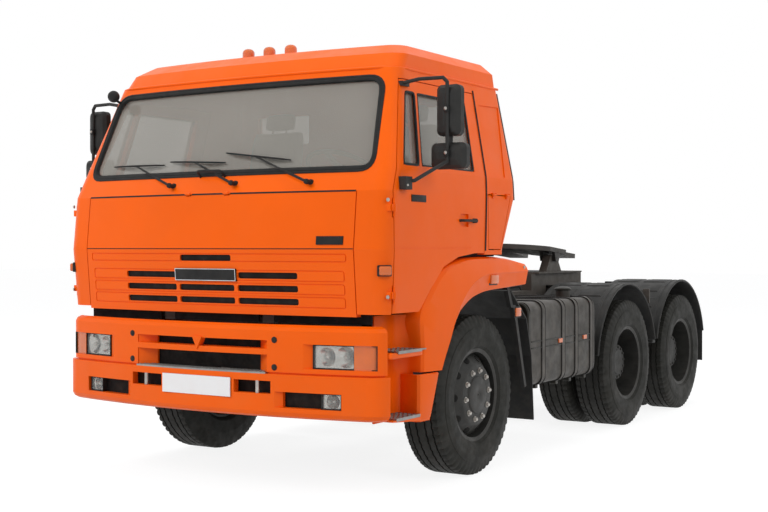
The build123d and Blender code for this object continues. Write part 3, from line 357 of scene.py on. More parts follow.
def add_box(grid, x, y, z, bevel=0.0, turn=0.0):
    """Box between limits in millimetres, turned about its own upright middle, with rounded edges."""
    low, high = at(x[0], y[0], z[0]), at(x[1], y[1], z[1])
    place = Matrix.Translation((low + high) / 2) @ Matrix.Rotation(turn, 4, "Z")
    made = bmesh.ops.create_cube(grid, size=1.0, matrix=place @ Matrix.Diagonal((*(high - low), 1)))
    if bevel:
        # each edge once, in an order that is the same in every run
        edges = list(dict.fromkeys(edge for vert in made["verts"] for edge in vert.link_edges))
        bmesh.ops.bevel(grid, geom=edges, offset=bevel / 1000, segments=3, profile=0.5, affect="EDGES")


def side_box(grid, side, x, y, z, bevel=0.0, turn=0.0):
    """Box given for the left side, placed there or mirrored."""
    add_box(grid, on_side(side, x), y, z, bevel, turn)


def add_loft(grid, rings, closed=False, caps=True):
    """Skin over rings of equal count; closed joins the last ring to the first."""
    rows = [[grid.verts.new(point) for point in ring] for ring in rings]
    pairs = list(zip(rows, rows[1:])) + ([(rows[-1], rows[0])] if closed else [])
    for a, b in pairs:
        join_rings(grid, a, b)
    if caps and not closed:
        grid.faces.new(rows[0][::-1])
        grid.faces.new(rows[-1])
    return rows


def join_rings(grid, a, b):
    """Faces between two closed rings of equal count."""
    for i in range(len(a)):
        j = (i + 1) % len(a)
        grid.faces.new((a[i], a[j], b[j], b[i]))


def add_sheet(grid, rows):
    """Open skin over rows of points."""
    made = [[grid.verts.new(point) for point in row] for row in rows]
    for a, b in zip(made, made[1:]):
        for i in range(len(a) - 1):
            grid.faces.new((a[i], a[i + 1], b[i + 1], b[i]))


def add_tube(grid, points, radius, sides=10, closed=False):
    """Round bar along points in millimetres."""
    path = [at(*point) for point in points]
    count = len(path)
    rings = []
    normal = None
    for i, point in enumerate(path):
        ahead = path[(i + 1) % count] if closed or i < count - 1 else point
        behind = path[i - 1] if closed or i > 0 else point
        tangent = (ahead - behind).normalized()
        normal = tangent.orthogonal() if normal is None else normal - tangent * normal.dot(tangent)
        normal.normalize()
        side = tangent.cross(normal)
        rings.append([point + (normal * math.cos(a) + side * math.sin(a)) * radius / 1000 for a in circle(sides)])
    add_loft(grid, rings, closed)


def rounded(points, radius, closed=False, steps=5):
    """Polyline with its corners rounded."""
    corners = [Vector(point) for point in points]
    count = len(corners)
    path = []
    for i, corner in enumerate(corners):
        if not closed and i in (0, count - 1):
            path.append(corner)
            continue
        before, after = corners[i - 1] - corner, corners[(i + 1) % count] - corner
        start = corner + before.normalized() * min(radius, before.length * 0.45)
        end = corner + after.normalized() * min(radius, after.length * 0.45)
        for k in range(steps + 1):
            t = k / steps
            path.append(start * (1 - t) ** 2 + corner * 2 * t * (1 - t) + end * t * t)
    return path


def smooth_curve(points, steps=6):
    """Catmull-Rom curve through points."""
    knots = [Vector(point) for point in points]
    knots = [knots[0] * 2 - knots[1], *knots, knots[-1] * 2 - knots[-2]]
    path = []
    for a, b, c, d in zip(knots, knots[1:], knots[2:], knots[3:]):
        for k in range(steps):
            t = k / steps
            path.append((b * 2 + (c - a) * t + (a * 2 - b * 5 + c * 4 - d) * t ** 2
                         + (b * 3 - a - c * 3 + d) * t ** 3) / 2)
    path.append(knots[-2])
    return path


def upright_loop(x, y, z, radius, steps=5):
    """Rectangle with round corners that stands across the truck."""
    return rounded([(x[0], y, z[0]), (x[1], y, z[0]), (x[1], y, z[1]), (x[0], y, z[1])], radius, True, steps)


# radius that stands for a point, because a ring of a skin can't have none
TIP_RADIUS = 0.02


def add_turned(grid, centre, axis, profile, segments=28):
    """Turned form about an axis from (along, radius) points in millimetres."""
    turn = Vector(axis).to_track_quat("Z", "Y")
    origin = at(*centre)
    rings = []
    for along, radius in profile:
        size = max(radius, TIP_RADIUS) / 1000
        rings.append([origin + turn @ Vector((size * math.cos(a), size * math.sin(a), along / 1000))
                      for a in circle(segments)])
    add_loft(grid, rings)


def bolt(grid, centre, axis, radius):
    """Domed screw head on its washer."""
    add_turned(grid, centre, axis, [(-2, radius * 1.25), (2, radius * 1.25), (3, radius), (6, radius * 0.85),
                                    (8, radius * 0.4), (8.4, 0)], 18)


# Height, half width, y of the front in the middle and at its ends, at the sill, the widest level, the
# panel's upper edge, the foot of the windscreen and the roof's edge.
CAB_LEVELS = [(1072, 1242, -1284, -1198), (1462, 1250, -1320, -1232), (1798, 1246, -1288, -1198),
              (1925, 1238, -1215, -1135), (2545, 1108, -965, -895)]
# y of the bumper's face in the middle, and how far its ends lie behind that
BUMPER_FACE = -1396
BOW = 154
# heights of the dark gap between bumper and cab
BLACK_GAP = (1026, 1092)


def cab_level(z):
    """Half width and front of the cab at a height."""
    z = min(max(z, CAB_LEVELS[0][0]), CAB_LEVELS[-1][0])
    for low, high in zip(CAB_LEVELS, CAB_LEVELS[1:]):
        if z <= high[0]:
            t = (z - low[0]) / (high[0] - low[0])
            return [a + (b - a) * t for a, b in zip(low[1:], high[1:])]


def front_y(x, z):
    """Face of the cab at a place across it and a height."""
    half, middle, edge = cab_level(z)
    return middle + (edge - middle) * (x / half) ** 2


def side_x(z):
    """Half width of the cab at a height."""
    return cab_level(z)[0]


def bumper_y(inset):
    """Face of the bumper at an inset, as a function of place."""
    return lambda x, z: BUMPER_FACE + inset + BOW * (x / HALF_WIDTH) ** 2


def add_band(grid, surface, x, z, lift, steps=8):
    """Plate that follows a curved face between two limits each way."""
    rings = []
    for k in range(steps + 1):
        across = x[0] + (x[1] - x[0]) * k / steps
        corners = ((z[0], lift[0]), (z[0], lift[1]), (z[1], lift[1]), (z[1], lift[0]))
        rings.append([at(across, surface(across, height) - rise, height) for height, rise in corners])
    add_loft(grid, rings)


def add_outline(grid, surface, x, z, width, lift):
    """Frame of four strips round a rectangle on a curved face."""
    for low in (z[0], z[1] - width):
        add_band(grid, surface, x, (low, low + width), lift)
    for left in (x[0], x[1] - width):
        add_band(grid, surface, (left, left + width), z, lift, 1)


# ---------------------------------------------------------------- front

def dress_panel():
    """Dark backs of the grille's slots, seams, blank badges and the bright rim of one."""
    grid = bmesh.new()
    slots = [(1410, -200, 200), (1306, -671, -245), (1306, 245, 671)]
    for z in (1229, 1153):
        slots += [(z, -671, -240), (z, -216, 216), (z, 240, 671)]
    for z, left, right in slots:
        add_band(grid, front_y, (left - 3, right + 3), (z - 21, z + 21), (-13, -19))
    finished("grille_shadow", grid, SHADOW, "front_panel")
    grid = bmesh.new()
    seam = (-1044, 1044)
    add_band(grid, front_y, (-238, 238), (1270, 1345), (-2, 11))
    add_band(grid, front_y, (806, 980), (1489, 1538), (-2, 6))
    add_band(grid, front_y, seam, (1793, 1803), (-6, 1.5), 20)
    add_band(grid, front_y, seam, (1463, 1467), (-6, 0.8), 20)
    finished("blank_badges", grid, SEAL, "front_panel")
    grid = bmesh.new()
    add_outline(grid, front_y, (-237, 237), (1271, 1344), 4, (10, 13))
    finished("badge_rim", grid, MIRROR, "front_panel")


def behind_front(x, z):
    """Upright face inside the cab's front, behind the dark gap over the bumper."""
    return front_y(x, 1080) + 70


def dress_bumper():
    """Bolts, screws, towing pins, the number plate's rim and what is dark under the cab."""
    grid = bmesh.new()
    for x in (-556, 556):
        for z in (934, 774):
            bolt(grid, (x, bumper_y(14)(x, z), z), (0, -1, 0), 15)
    finished("bumper_bolts", grid, SEAL, "chassis")
    grid = bmesh.new()
    for side in (-1, 1):
        for y, z in ((-1190, 1192), (-1188, 1743)):
            bolt(grid, (1236 * side, y, z), (side, -0.45, 0), 9)
        add_tube(grid, [(436 * side, -1354, 606), (436 * side, -1354, 706)], 13.5, 12)
    finished("corner_screws", grid, STEEL, "chassis")
    grid = bmesh.new()
    add_tube(grid, [(x, BUMPER_FACE, z) for x, z in ((-264, 590), (264, 590), (264, 701), (-264, 701))], 3.2, 8, True)
    finished("plate_rim", grid, MIRROR, "chassis")
    grid = bmesh.new()
    for x, z in (((-1100, -450), (1010, BLACK_GAP[1])), ((-330, 330), BLACK_GAP), ((450, 1100), BLACK_GAP)):
        add_band(grid, behind_front, x, z, (-12, 0))
    for side in (1, -1):
        side_box(grid, side, (325, 455), (-1090, -1080), (1020, BLACK_GAP[1]))
    for side in (-1, 1):
        side_box(grid, side, (1190, 1200), (-330, 190), (1413, 1470))
    finished("under_cab_shadow", grid, SHADOW, "cab")


def lamp(left, x, z, inset, dishes):
    """Lamp in the bumper: dark rim, plated reflector with its dishes as (x, z, radius), and a fluted cover."""
    face = bumper_y(inset)
    reflector, rim, cover = bmesh.new(), bmesh.new(), bmesh.new()
    across, up = 46, 26
    rows = []
    for j in range(up + 1):
        height = z[0] + (z[1] - z[0]) * j / up
        row = []
        for i in range(across + 1):
            place = x[0] + (x[1] - x[0]) * i / across
            depth = 10.0
            for cx, cz, radius in dishes:
                away = math.hypot(place - cx, height - cz) / radius
                if away < 1:
                    depth = max(depth, 10 + 40 * (1 - away ** 2))
            row.append(at(place, face(place, height) + depth, height))
        rows.append(row)
    add_sheet(reflector, rows)
    for cx, cz, radius in dishes:
        add_turned(reflector, (cx, face(cx, cz) + 44, cz), (0, -1, 0), [(0, 13), (22, 13), (30, 9), (33, 0)], 20)
    add_outline(rim, face, x, z, 7, (-52, 5))
    rings = []
    flutes = 40
    for k in range(flutes * 2 + 1):
        place = x[0] + 6 + (x[1] - x[0] - 12) * k / (flutes * 2)
        lift = 1.2 if k % 2 else 0.0
        corners = ((z[0] + 6, lift), (z[1] - 6, lift), (z[1] - 6, -4), (z[0] + 6, -4))
        rings.append([at(place, face(place, height) - rise, height) for height, rise in corners])
    add_loft(cover, rings)
    name = "lamp_%d_%d" % (abs(x[0]), 1 if left else 0)
    plated = finished(name + "_reflector", reflector, CHROME, "chassis", 60)
    finished(name + "_rim", rim, SEAL, "chassis")
    finished(name + "_cover", cover, COVER, "chassis", 20)
    return plated


def dress_lamps():
    """Head and fog lamps, rims of the indicators, and what is dark behind the bumper's openings."""
    main = None
    for side in (1, -1):
        for limits, z, inset, dishes in (
                ((796, 1055), (772, 914), 38, ((985, 843, 64), (872, 843, 56))),
                ((858, 985), (542, 635), 22, ((922, 588, 42),))):
            dishes = [(cx * side, cz, radius) for cx, cz, radius in dishes]
            reflector = lamp(side == 1, on_side(side, limits), z, inset, dishes)
            main = main or reflector
    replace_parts(main, "front_lamps")
    grid = bmesh.new()
    for side in (1, -1):
        add_outline(grid, bumper_y(38), on_side(side, (1055, 1188)), (772, 914), 5, (-8, 5))
    finished("indicator_rims", grid, SEAL, "chassis")
    grid = bmesh.new()
    fog, tow, head = ((522, 638), 60), ((600, 704), 70), ((766, 920), 90)
    for x, (z, inset) in (((540, 856), fog), ((210, 545), tow), ((700, 1190), head),
                          ((-930, -607), fog), ((-630, -270), tow), ((-1190, -700), head)):
        add_band(grid, bumper_y(inset), x, z, (-4, 0))
    add_band(grid, lambda x, z: -1262, (-415, 415), (746, 934), (-4, 0))
    finished("bumper_shadows", grid, SHADOW, "chassis")


def dress_cab():
    """Side seams, the grab bar, corner markers and the drip rail round the roof."""
    grid = bmesh.new()
    for side in (-1, 1):
        strip = [(side * (side_x(z) - 1), -33 + (z - 1446) * 0.064 + 6, z) for z in range(1452, 2500, 40)]
        add_tube(grid, strip, 8, 8)
        edge = [(side * (side_x(z) - 16), 414, z) for z in range(1790, 2520, 40)]
        add_tube(grid, edge, 11, 8)
    bar = rounded([(-106, front_y(-106, 1905) + 4, 1905), (-106, -1262, 1943), (87, -1262, 1940),
                   (87, front_y(87, 1903) + 4, 1903)], 22)
    add_tube(grid, bar, 8, 10)
    for side in (-1, 1):
        add_box(grid, (1219 * side - 41, 1219 * side + 41), (-1213, -1185), (1309, 1373), 6, math.radians(45) * side)
    finished("cab_seals", grid, SEAL, "cab")
    grid = bmesh.new()
    for side in (-1, 1):
        add_box(grid, (1229 * side - 35, 1229 * side + 35), (-1226, -1190), (1315, 1367), 9, math.radians(45) * side)
    finished("corner_markers", grid, AMBER, "cab")
    grid = bmesh.new()
    z = 2541
    half, corner, end = 1109, CAB_LEVELS[-1][3] + 92, 420
    rail = [(-half, end, z), (-half, corner, z)]
    rail += [(x, front_y(x, z) - 3, z) for x in range(-1030, 1031, 103)]
    rail += [(half, corner, z), (half, end, z)]
    add_tube(grid, rounded(rail, 60), 8, 8)
    finished("drip_rail", grid, ORANGE, "cab")


# corners of the windscreen as (half width, height)
SCREEN_LOW, SCREEN_HIGH = (1108, 1928), (1042, 2480)
SCREEN_CORNER = 92
# blade ends and pivot of each wiper, as (x, z)
WIPERS = [((-917, 2001), (-450, 1996), (-303, 1853)), ((-403, 2015), (55, 1994), (188, 1857)),
          ((44, 2055), (541, 1994), (728, 1852))]


def screen_path(spread, lift):
    """Closed path round the windscreen, wider than the glass by spread and lift in front of the cab's face."""
    (low_half, low), (high_half, high) = SCREEN_LOW, SCREEN_HIGH
    low_half, high_half, low, high = low_half + spread, high_half + spread, low - spread, high + spread
    corners = [(-low_half, 0, low), (low_half, 0, low), (high_half, 0, high), (-high_half, 0, high)]
    corner_points = 7
    path = rounded(corners, SCREEN_CORNER + spread, True, corner_points - 1)
    dense = []
    for i, point in enumerate(path):
        ahead = path[(i + 1) % len(path)]
        # the straight edge after a corner follows the bowed front in short pieces
        pieces = 14 if i % corner_points == corner_points - 1 else 1
        dense += [point.lerp(ahead, k / pieces) for k in range(pieces)]
    return [at(point.x, front_y(point.x, point.z) - lift, point.z) for point in dense]


def on_screen(point, lift):
    """Place in front of the windscreen."""
    x, z = point
    return (x, front_y(x, z) - lift, z)


def between(start, end, t):
    """Point part of the way along a line."""
    return tuple(a + (b - a) * t for a, b in zip(start, end))


def dress_screen():
    """Windscreen rubber, three wipers and the round mirror at the right pillar."""
    grid = bmesh.new()
    profile = [(20, -6), (20, 3), (12, 7), (4, 4), (0, 7), (-12, 5), (-20, -14), (-16, -18)]
    paths = [screen_path(spread, lift) for spread, lift in profile]
    add_loft(grid, [list(section) for section in zip(*paths)], True)
    for start, end, pivot in WIPERS:
        middle = between(start, end, 0.5)
        blade = [on_screen(between(start, end, k / 10), -4) for k in range(11)]
        add_tube(grid, blade, 4.5, 8)
        bridge = [on_screen(between(start, end, t), lift)
                  for t, lift in ((0.08, 4), (0.25, 14), (0.5, 22), (0.75, 14), (0.92, 4))]
        add_tube(grid, smooth_curve(bridge, 4), 5.5, 8)
        for t in (0.25, 0.75):
            link = [on_screen(between(start, end, t + d), lift)
                    for d, lift in ((-0.12, 2), (0, 12), (0.12, 2))]
            add_tube(grid, link, 4, 6)
        x, z = pivot
        base = (x, front_y(x, z) + 6, z)
        head = (x, front_y(x, z) - 40, z + 4)
        add_turned(grid, base, (0, -1, 0.1), [(0, 20), (10, 19), (12, 13), (40, 13), (44, 17), (56, 15), (60, 0)], 20)
        joint = between(pivot, middle, 0.42)
        add_tube(grid, [head, on_screen(joint, 34)], 8.5, 8)
        for shift in (-8, 8):
            rod = [on_screen((joint[0] + shift, joint[1]), 34), on_screen((middle[0] + shift, middle[1]), 22)]
            add_tube(grid, rod, 3.2, 6)
    add_tube(grid, [(-1060, -905, 2440), (-1052, -1000, 2472)], 9, 10)
    ball = [(-40 * math.cos(a), 40 * math.sin(a)) for a in [math.pi * k / 14 for k in range(15)]]
    add_turned(grid, (-1038, -1020, 2485), (-0.3, -1, 0), ball, 28)
    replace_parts(finished("screen_rubber_and_wipers", grid, SEAL, "cab"), "cab_trim")


def window_loop(outline, lift):
    """Closed path on the cab's side through (y, z) corners."""
    return rounded([(side_x(z) + lift, y, z) for y, z in outline], 26, True, 4)


def dress_door(side, word):
    """Seals of both panes, handle and lock, mirror brackets and screws, and the mirrors' glass."""
    body = "door_" + word
    vent = [(-1006, 1956), (-833, 1956), (-734, 2398), (-840, 2398)]
    main = [(-797, 1956), (-146, 1956), (-106, 2398), (-699, 2398)]
    grid = bmesh.new()
    for outline, radius in ((vent, 9), (main, 7)):
        add_tube(grid, mirrored_x(window_loop(outline, -5), side), radius, 8, True)
    handle = rounded([(side * 1248, -366, 1640), (side * 1272, -352, 1640), (side * 1272, -196, 1641),
                      (side * 1248, -180, 1641)], 12)
    add_tube(grid, handle, 9, 10)
    add_turned(grid, (side * 1246, -188, 1641), (side, 0, 0), [(0, 15), (28, 14), (32, 10), (33, 0)], 20)
    arms = (2280, 2023)
    for z in arms:
        side_box(grid, side, (1402, 1434), (-850, -812), (z - 22, z + 22), 6)
    side_box(grid, side, (1246, 1251.5), (-949, -782), (1740, 1781), 2)
    finished("door_fittings_" + word, grid, SEAL, body)
    grid = bmesh.new()
    for z in arms:
        bolt(grid, (side * 1418, -850, z), (0, -1, 0), 8)
    bolt(grid, (side * 1290, -1062, 1830), (0, -1, 0), 6)
    finished("mirror_screws_" + word, grid, STEEL, body)
    grid = bmesh.new()
    middle = 1408
    for width, z in ((146, (2132, 2418)), (222, (1939, 2078))):
        loops = [upright_loop((middle - width / 2, middle + width / 2), y, z, 28, 4) for y in (-751, -748)]
        add_loft(grid, [[at(side * x, y, height) for x, y, height in loop] for loop in loops])
    finished("mirror_glass_" + word, grid, MIRROR, body)


# ---------------------------------------------------------------- wheels

# half width at a radius, from the bead to the shoulder
SIDEWALL = [(106, 292), (121, 296), (135, 312), (139, 318), (141, 318), (146, 352), (150, 398), (150.5, 404),
            (149.5, 410), (148, 436), (146.5, 440), (144.5, 440), (140, 464), (133, 486)]
# place across the tread and how deep it lies
TREAD_ROW = [(120, 3), (104, 0), (86, 0), (84, 11), (76, 11), (74, 0), (38, 0), (36, 12), (27, 12), (25, 0)]
TYRE_STEPS = 240
LUGS = 60


def tyre_ring(step):
    """Section of the tyre at one step round the wheel, as (x, radius)."""
    phase = (step % (TYRE_STEPS // LUGS)) / (TYRE_STEPS / LUGS)
    notch = 9.0 if phase < 0.25 else 0.0
    wander = 2.5 * (1 - abs(2 * phase - 1) * 2)
    halves = []
    for side in (1, -1):
        half = [(side * x, radius) for x, radius in SIDEWALL[:-2]]
        half += [(side * x, radius - notch * 0.6) for x, radius in SIDEWALL[-2:]]
        half += [(side * x + (wander if depth or x < 90 else 0), WHEEL_RADIUS - depth - (notch if x > 90 else 0))
                 for x, depth in TREAD_ROW]
        halves.append(half)
    return halves[0] + halves[1][::-1]


def add_tyre(grid, x):
    """Tyre about the origin, its middle at a place along the axle."""
    rows = []
    for step, angle in enumerate(circle(TYRE_STEPS)):
        rows.append([Vector(((x + place) / 1000, radius / 1000 * math.sin(angle), radius / 1000 * math.cos(angle)))
                     for place, radius in tyre_ring(step)])
    add_loft(grid, rows, True)


def ring_of(count, radius, start=0.0):
    """(y, z) places evenly round a circle."""
    return [(radius * math.sin(a), radius * math.cos(a)) for a in circle(count, start)]


def add_stud(grid, centre, profile, sides, out=(1, 0, 0)):
    """Turned or six-sided form on a wheel, from (along, radius) points, with its axis pointing out."""
    turn = Vector(out).to_track_quat("Z", "Y")
    centre = Vector(centre) / 1000
    add_loft(grid, [[centre + turn @ Vector((size * math.cos(a), size * math.sin(a), along)) / 1000
                     for a in circle(sides)] for along, size in profile])


def wheel_nuts(x, count, radius):
    """Flanged nuts with the ends of their studs, round the wheel's middle."""
    grid = bmesh.new()
    for y, z in ring_of(count, radius, 0.2):
        for sides, profile in ((24, [(0, 20), (5, 19)]), (6, [(4, 15), (15, 14.5), (18, 12)]),
                               (14, [(16, 11), (21, 9), (23, 4)])):
            add_stud(grid, (x, y, z), profile, sides)
    return grid


def turned_x(grid, profile, closed=False, segments=64):
    """Turned form about the wheel's axle from (x, radius) points; closed makes it a ring."""
    rings = []
    for x, radius in profile:
        size = max(radius, TIP_RADIUS) / 1000
        rings.append([Vector((x / 1000, size * math.sin(a), size * math.cos(a))) for a in circle(segments)])
    add_loft(grid, rings, closed)


def tyres(places):
    """One or two tyres on a wheel, at places along its axle."""
    grid = bmesh.new()
    for x in places:
        add_tyre(grid, x)
    return grid


def front_cap():
    """Hub of a front wheel, with the lip of its rim."""
    grid = bmesh.new()
    turned_x(grid, [(52, 277), (60, 276), (72, 264), (104, 224), (122, 203), (130, 196), (134, 186), (134, 122),
                    (140, 119), (145, 112), (146, 30), (143, 24), (143, 6), (136, 6), (126, 186), (98, 220),
                    (66, 260), (52, 268)], True, 96)
    turned_x(grid, [(112, 290), (120, 302), (125, 303), (125, 298), (118, 284)], True)
    return grid


def rear_cap():
    """Hub of a driven wheel with its flange's bolts, and the lip of the outer rim."""
    grid = bmesh.new()
    turned_x(grid, [(40, 0), (40, 150), (110, 138), (172, 132), (182, 136), (184, 143), (200, 143), (204, 138),
                    (205, 104), (209, 100), (209, 30), (206, 0)])
    turned_x(grid, [(277, 290), (285, 302), (290, 303), (290, 298), (283, 284)], True)
    for y, z in ring_of(14, 122, 0.1):
        add_stud(grid, (204, y, z), ((0, 10), (8, 10), (10, 8)), 6)
    return grid


def hand_hole_shade():
    """Dark discs of painted shade where a front wheel is pierced, standing for its holes, facing out along its cone.
    """
    grid = bmesh.new()
    ring = 236
    for y, z in ring_of(10, ring, 0.31):
        out = Vector((0.72, 0.69 * y / ring, 0.69 * z / ring)).normalized()
        add_stud(grid, (94, y, z), ((-6, 25), (3.0, 25), (3.2, 24)), 20, out)
    return grid


def valve():
    """Valve stem of the inner tyre, led out to the rim."""
    grid = bmesh.new()
    path = [Vector(p) / 1000 for p in ((90, 60, -255), (110, 66, -262), (150, 70, -268), (190, 72, -270))]
    add_loft(grid, [[point + Vector((0, math.cos(a), math.sin(a))) * 0.006 for a in circle(8)] for point in path])
    return grid


def dress_wheels():
    """Tyres with their tread, nuts, hubs, valves and the painted shade of the hand holes, each on its own wheel."""
    single = loose_mesh("tyre", tyres((0,)), TYRE, 28)
    twin = loose_mesh("twin_tyre", tyres((-165, 165)), TYRE, 28)
    # the hand holes are not cut; dark discs of painted shade stand in for them
    front = (("nuts", loose_mesh("front_nuts", wheel_nuts(133, 10, 158), STEEL)),
             ("cap", loose_mesh("front_cap", front_cap(), WHEEL)),
             ("hand_hole_shade", loose_mesh("hand_hole_shade", hand_hole_shade(), SHADOW)))
    rear = (("nuts", loose_mesh("rear_nuts", wheel_nuts(14, 10, 168), STEEL)),
            ("cap", loose_mesh("rear_cap", rear_cap(), WHEEL)),
            ("valve", loose_mesh("valve", valve(), SEAL)))
    for side, word in SIDES:
        for axle, x, y, tyre, parts in (("front", 1042, 0, single, front), ("middle", 870, MIDDLE_AXLE, twin, rear),
                                        ("rear", 870, REAR_AXLE, twin, rear)):
            where = (x * side, y, WHEEL_RADIUS)
            body = "%s_wheel_%s" % (axle, word)
            form = place_mesh("%s_tyre_form_%s" % (axle, word), tyre, where, body, side < 0)
            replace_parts(form, "%s_tyre_%s" % (axle, word))
            for part, mesh in parts:
                place_mesh("%s_%s_%s" % (axle, part, word), mesh, where, body, side < 0)


# ---------------------------------------------------------------- body sides and chassis

def dress_steps():
    """Raised studs of the treads, and the nosing of the side steps."""
    grid = bmesh.new()
    for side in (-1, 1):
        for y0, y1, z in ((-1100, -830, 878), (-1120, -852, 494)):
            for i in range(int((y1 - y0 - 30) / 26)):
                for j in range(5):
                    x = 1102 + j * 30 + (13 if i % 2 else 0)
                    y = y0 + 20 + i * 26
                    side_box(grid, side, (x, x + 15), (y, y + 9), (z - 1, z + 4), 0, 0.6 * side)
            side_box(grid, side, (1243, 1254), (y0 + 2, y1 - 2), (z - 16, z + 3), 3)
    tread = bumper_y(11)
    for i in range(38):
        for j in range(3):
            x = -492 + i * 26 + (12 if j % 2 else 0)
            y = tread(x, 0) + j * 30
            add_box(grid, (x, x + 13), (y, y + 8), (744, 748.5), 0, 0.6)
    finished("tread_studs", grid, TREAD, "chassis")


# fender lines from its rear end forward and down, as (y, z): upper edge, crease and wheel opening
FENDER_TOP = [(562, 1366), (230, 1408), (-168, 1410), (-384, 1388), (-566, 1332), (-724, 1200), (-822, 1076),
              (-814, 905), (-814, 735)]
FENDER_CREASE = [(566, 1312), (260, 1308), (-7, 1303), (-190, 1258), (-333, 1169), (-440, 1052), (-520, 915),
                 (-590, 806), (-630, 735)]
FENDER_OPENING = [(560, 1226), (280, 1213), (10, 1200), (-130, 1180), (-232, 1152), (-340, 1098), (-430, 1033),
                  (-560, 893), (-645, 735)]


def fender_section(top, crease, opening):
    """Closed section of the pressing at one station, as (x, y, z)."""
    towards = (Vector((0, WHEEL_RADIUS)) - top).normalized() * 18
    inner = top + towards
    middle = top.lerp(crease, 0.5)
    near = top.lerp(crease, 0.12)
    return [(1078, *top), (1196, *top), (1226, *top.lerp(crease, 0.04)), (1242, *near), (1259, *middle),
            (1270, *top.lerp(crease, 0.95)), (1272, *crease), (1267, *crease.lerp(opening, 0.08)), (1254, *opening),
            (1250, *(opening + towards * 0.3)), (1230, *(opening + towards * 0.3)), (1230, *opening),
            (1236, *crease), (1222, *near.lerp(inner, 0.8)), (1078, *inner)]


def prism_z(grid, levels):
    """Skin over outlines (x, y) given at heights, from [(z, outline), ...]."""
    add_loft(grid, [[at(x, y, z) for x, y in outline] for z, outline in levels])


def mirrored_x(points, side):
    """Points given for the left side, as they are or mirrored."""
    return [(side * x, *rest) for x, *rest in points]


def add_fender(grid, side, lines):
    """Pressing over the wheel, and the panel, walls and trays of the step recess in front of it."""
    add_loft(grid, [[at(side * x, y, z) for x, y, z in fender_section(*station)] for station in zip(*lines)])
    # lower panel between the split and the sill, as (height, edge at the wheel, outer face)
    levels = []
    for z, edge, out in ((724, -642, 1250), (716, -644, 1256), (600, -688, 1256), (470, -736, 1254),
                         (446, -742, 1246)):
        plan = [(out, edge), (out, -836), (out - 6, -852), (out - 22, -862), (1150, -856), (1086, -838),
                (1086, -826), (1150, -843), (out - 26, -848), (out - 14, -838), (out - 14, edge)]
        levels.append((z, mirrored_x(plan, side)))
    prism_z(grid, levels)
    # inner wall of the recess, its round corner, the tray of the upper step and the sill
    side_box(grid, side, (1072, 1086), (-1100, -812), (450, 1076), 4)
    corner = [(1086 + 92 * (1 - math.cos(a)), -905 + 92 * math.sin(a)) for a in
              [math.pi / 2 * k / 10 for k in range(11)]]
    prism_z(grid, [(z, mirrored_x(corner + [(1086, -813)], side)) for z in (486, 1074)])
    side_box(grid, side, (1080, 1247), (-1166, -815), (836, 870), 9)
    foot = [(-1160, 486), (-1160, 478), (-746, 446), (-738, 450), (-738, 486)]
    add_loft(grid, [[at(side * x, y, z) for y, z in foot] for x in (1080, 1246, 1250)])
    # bracket to the frame
    side_box(grid, side, (RAIL_X, 1080), (-830, -790), (860, 900), 4)


def dress_fenders():
    """Pressed fenders with the step recess in front of them, lamps and the liner's edge."""
    lines = [smooth_curve([(y, z, 0) for y, z in line]) for line in (FENDER_TOP, FENDER_CREASE, FENDER_OPENING)]
    lines = [[point.xy for point in line] for line in lines]
    for side, word in SIDES:
        grid = bmesh.new()
        add_fender(grid, side, lines)
        skin = finished("fender_" + word, grid, ORANGE, "chassis", 24)
        if side == 1:
            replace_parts(skin, "front_fenders")
        grid = bmesh.new()
        side_box(grid, side, (1218, 1232), (462, 542), (1004, 1062), 6)
        side_box(grid, side, (1256, 1276), (16, 118), (1236, 1294), 6)
        finished("side_markers_" + word, grid, AMBER, "chassis")
        grid = bmesh.new()
        flap = [(341, 1204), (403, 1068), (440, 1066), (612, 511), (640, 520), (470, 1082), (430, 1084), (372, 1210)]
        add_loft(grid, [[at(side * x, y, z) for y, z in flap] for x in (1190, 1222)])
        side_box(grid, side, (1254, 1260), (8, 126), (1228, 1302), 2)
        side_box(grid, side, (1210, 1222), (454, 550), (996, 1070), 3)
        finished("liner_edge_" + word, grid, BLACK, "chassis")
        grid = bmesh.new()
        bolt(grid, (side * 1262, 520, 1338), (side, 0, 0), 9)
        finished("fender_screw_" + word, grid, STEEL, "chassis")


def rounded_frame(grid, x, z, y, radius, width):
    """Ring of a rectangle with round corners, standing across the truck."""
    rings = []
    for inset, depth in ((0, y[1]), (0, y[0] + 8), (8, y[0]), (width - 8, y[0]), (width, y[0] + 8), (width, y[1])):
        corner = max(radius - inset * 0.8, 12)
        loop = upright_loop((x[0] + inset, x[1] - inset), depth, (z[0] + inset, z[1] - inset), corner)
        rings.append([at(*point) for point in loop])
    add_loft(grid, rings, True)


def dress_tank():
    """Rolled ends, side seams, filler cap, feet and straps of the fuel tank."""
    grid = bmesh.new()
    rounded_frame(grid, (500, 1180), (492, 1086), (762, 792), 96, 58)
    rounded_frame(grid, (502, 1178), (494, 1084), (1929, 1946), 96, 40)
    for z in (761, 808):
        for y in ((806, 974), (1026, 1319), (1371, 1559), (1611, 1844)):
            add_box(grid, (1174, 1185), y, (z - 5, z + 5), 3)
    add_turned(grid, (975, 1800, 1140), (0, 0, 1), [(0, 62), (8, 66), (16, 62), (26, 40), (30, 0)], 32)
    straps = (1000, 1345, 1585, 1870)
    for y in straps:
        add_box(grid, (1080, 1130), (y - 20, y + 20), (462, 490), 3)
    finished("tank_fittings", grid, TANK, "chassis")
    grid = bmesh.new()
    add_box(grid, (540, 1140), (782, 790.5), (530, 1048), 4)
    for y in straps:
        for edge in (y - 27, y + 27):
            add_tube(grid, upright_loop((496, 1184), edge, (488, 1090), 78, 8), 4, 6, True)
    finished("tank_rubbers", grid, SEAL, "chassis")


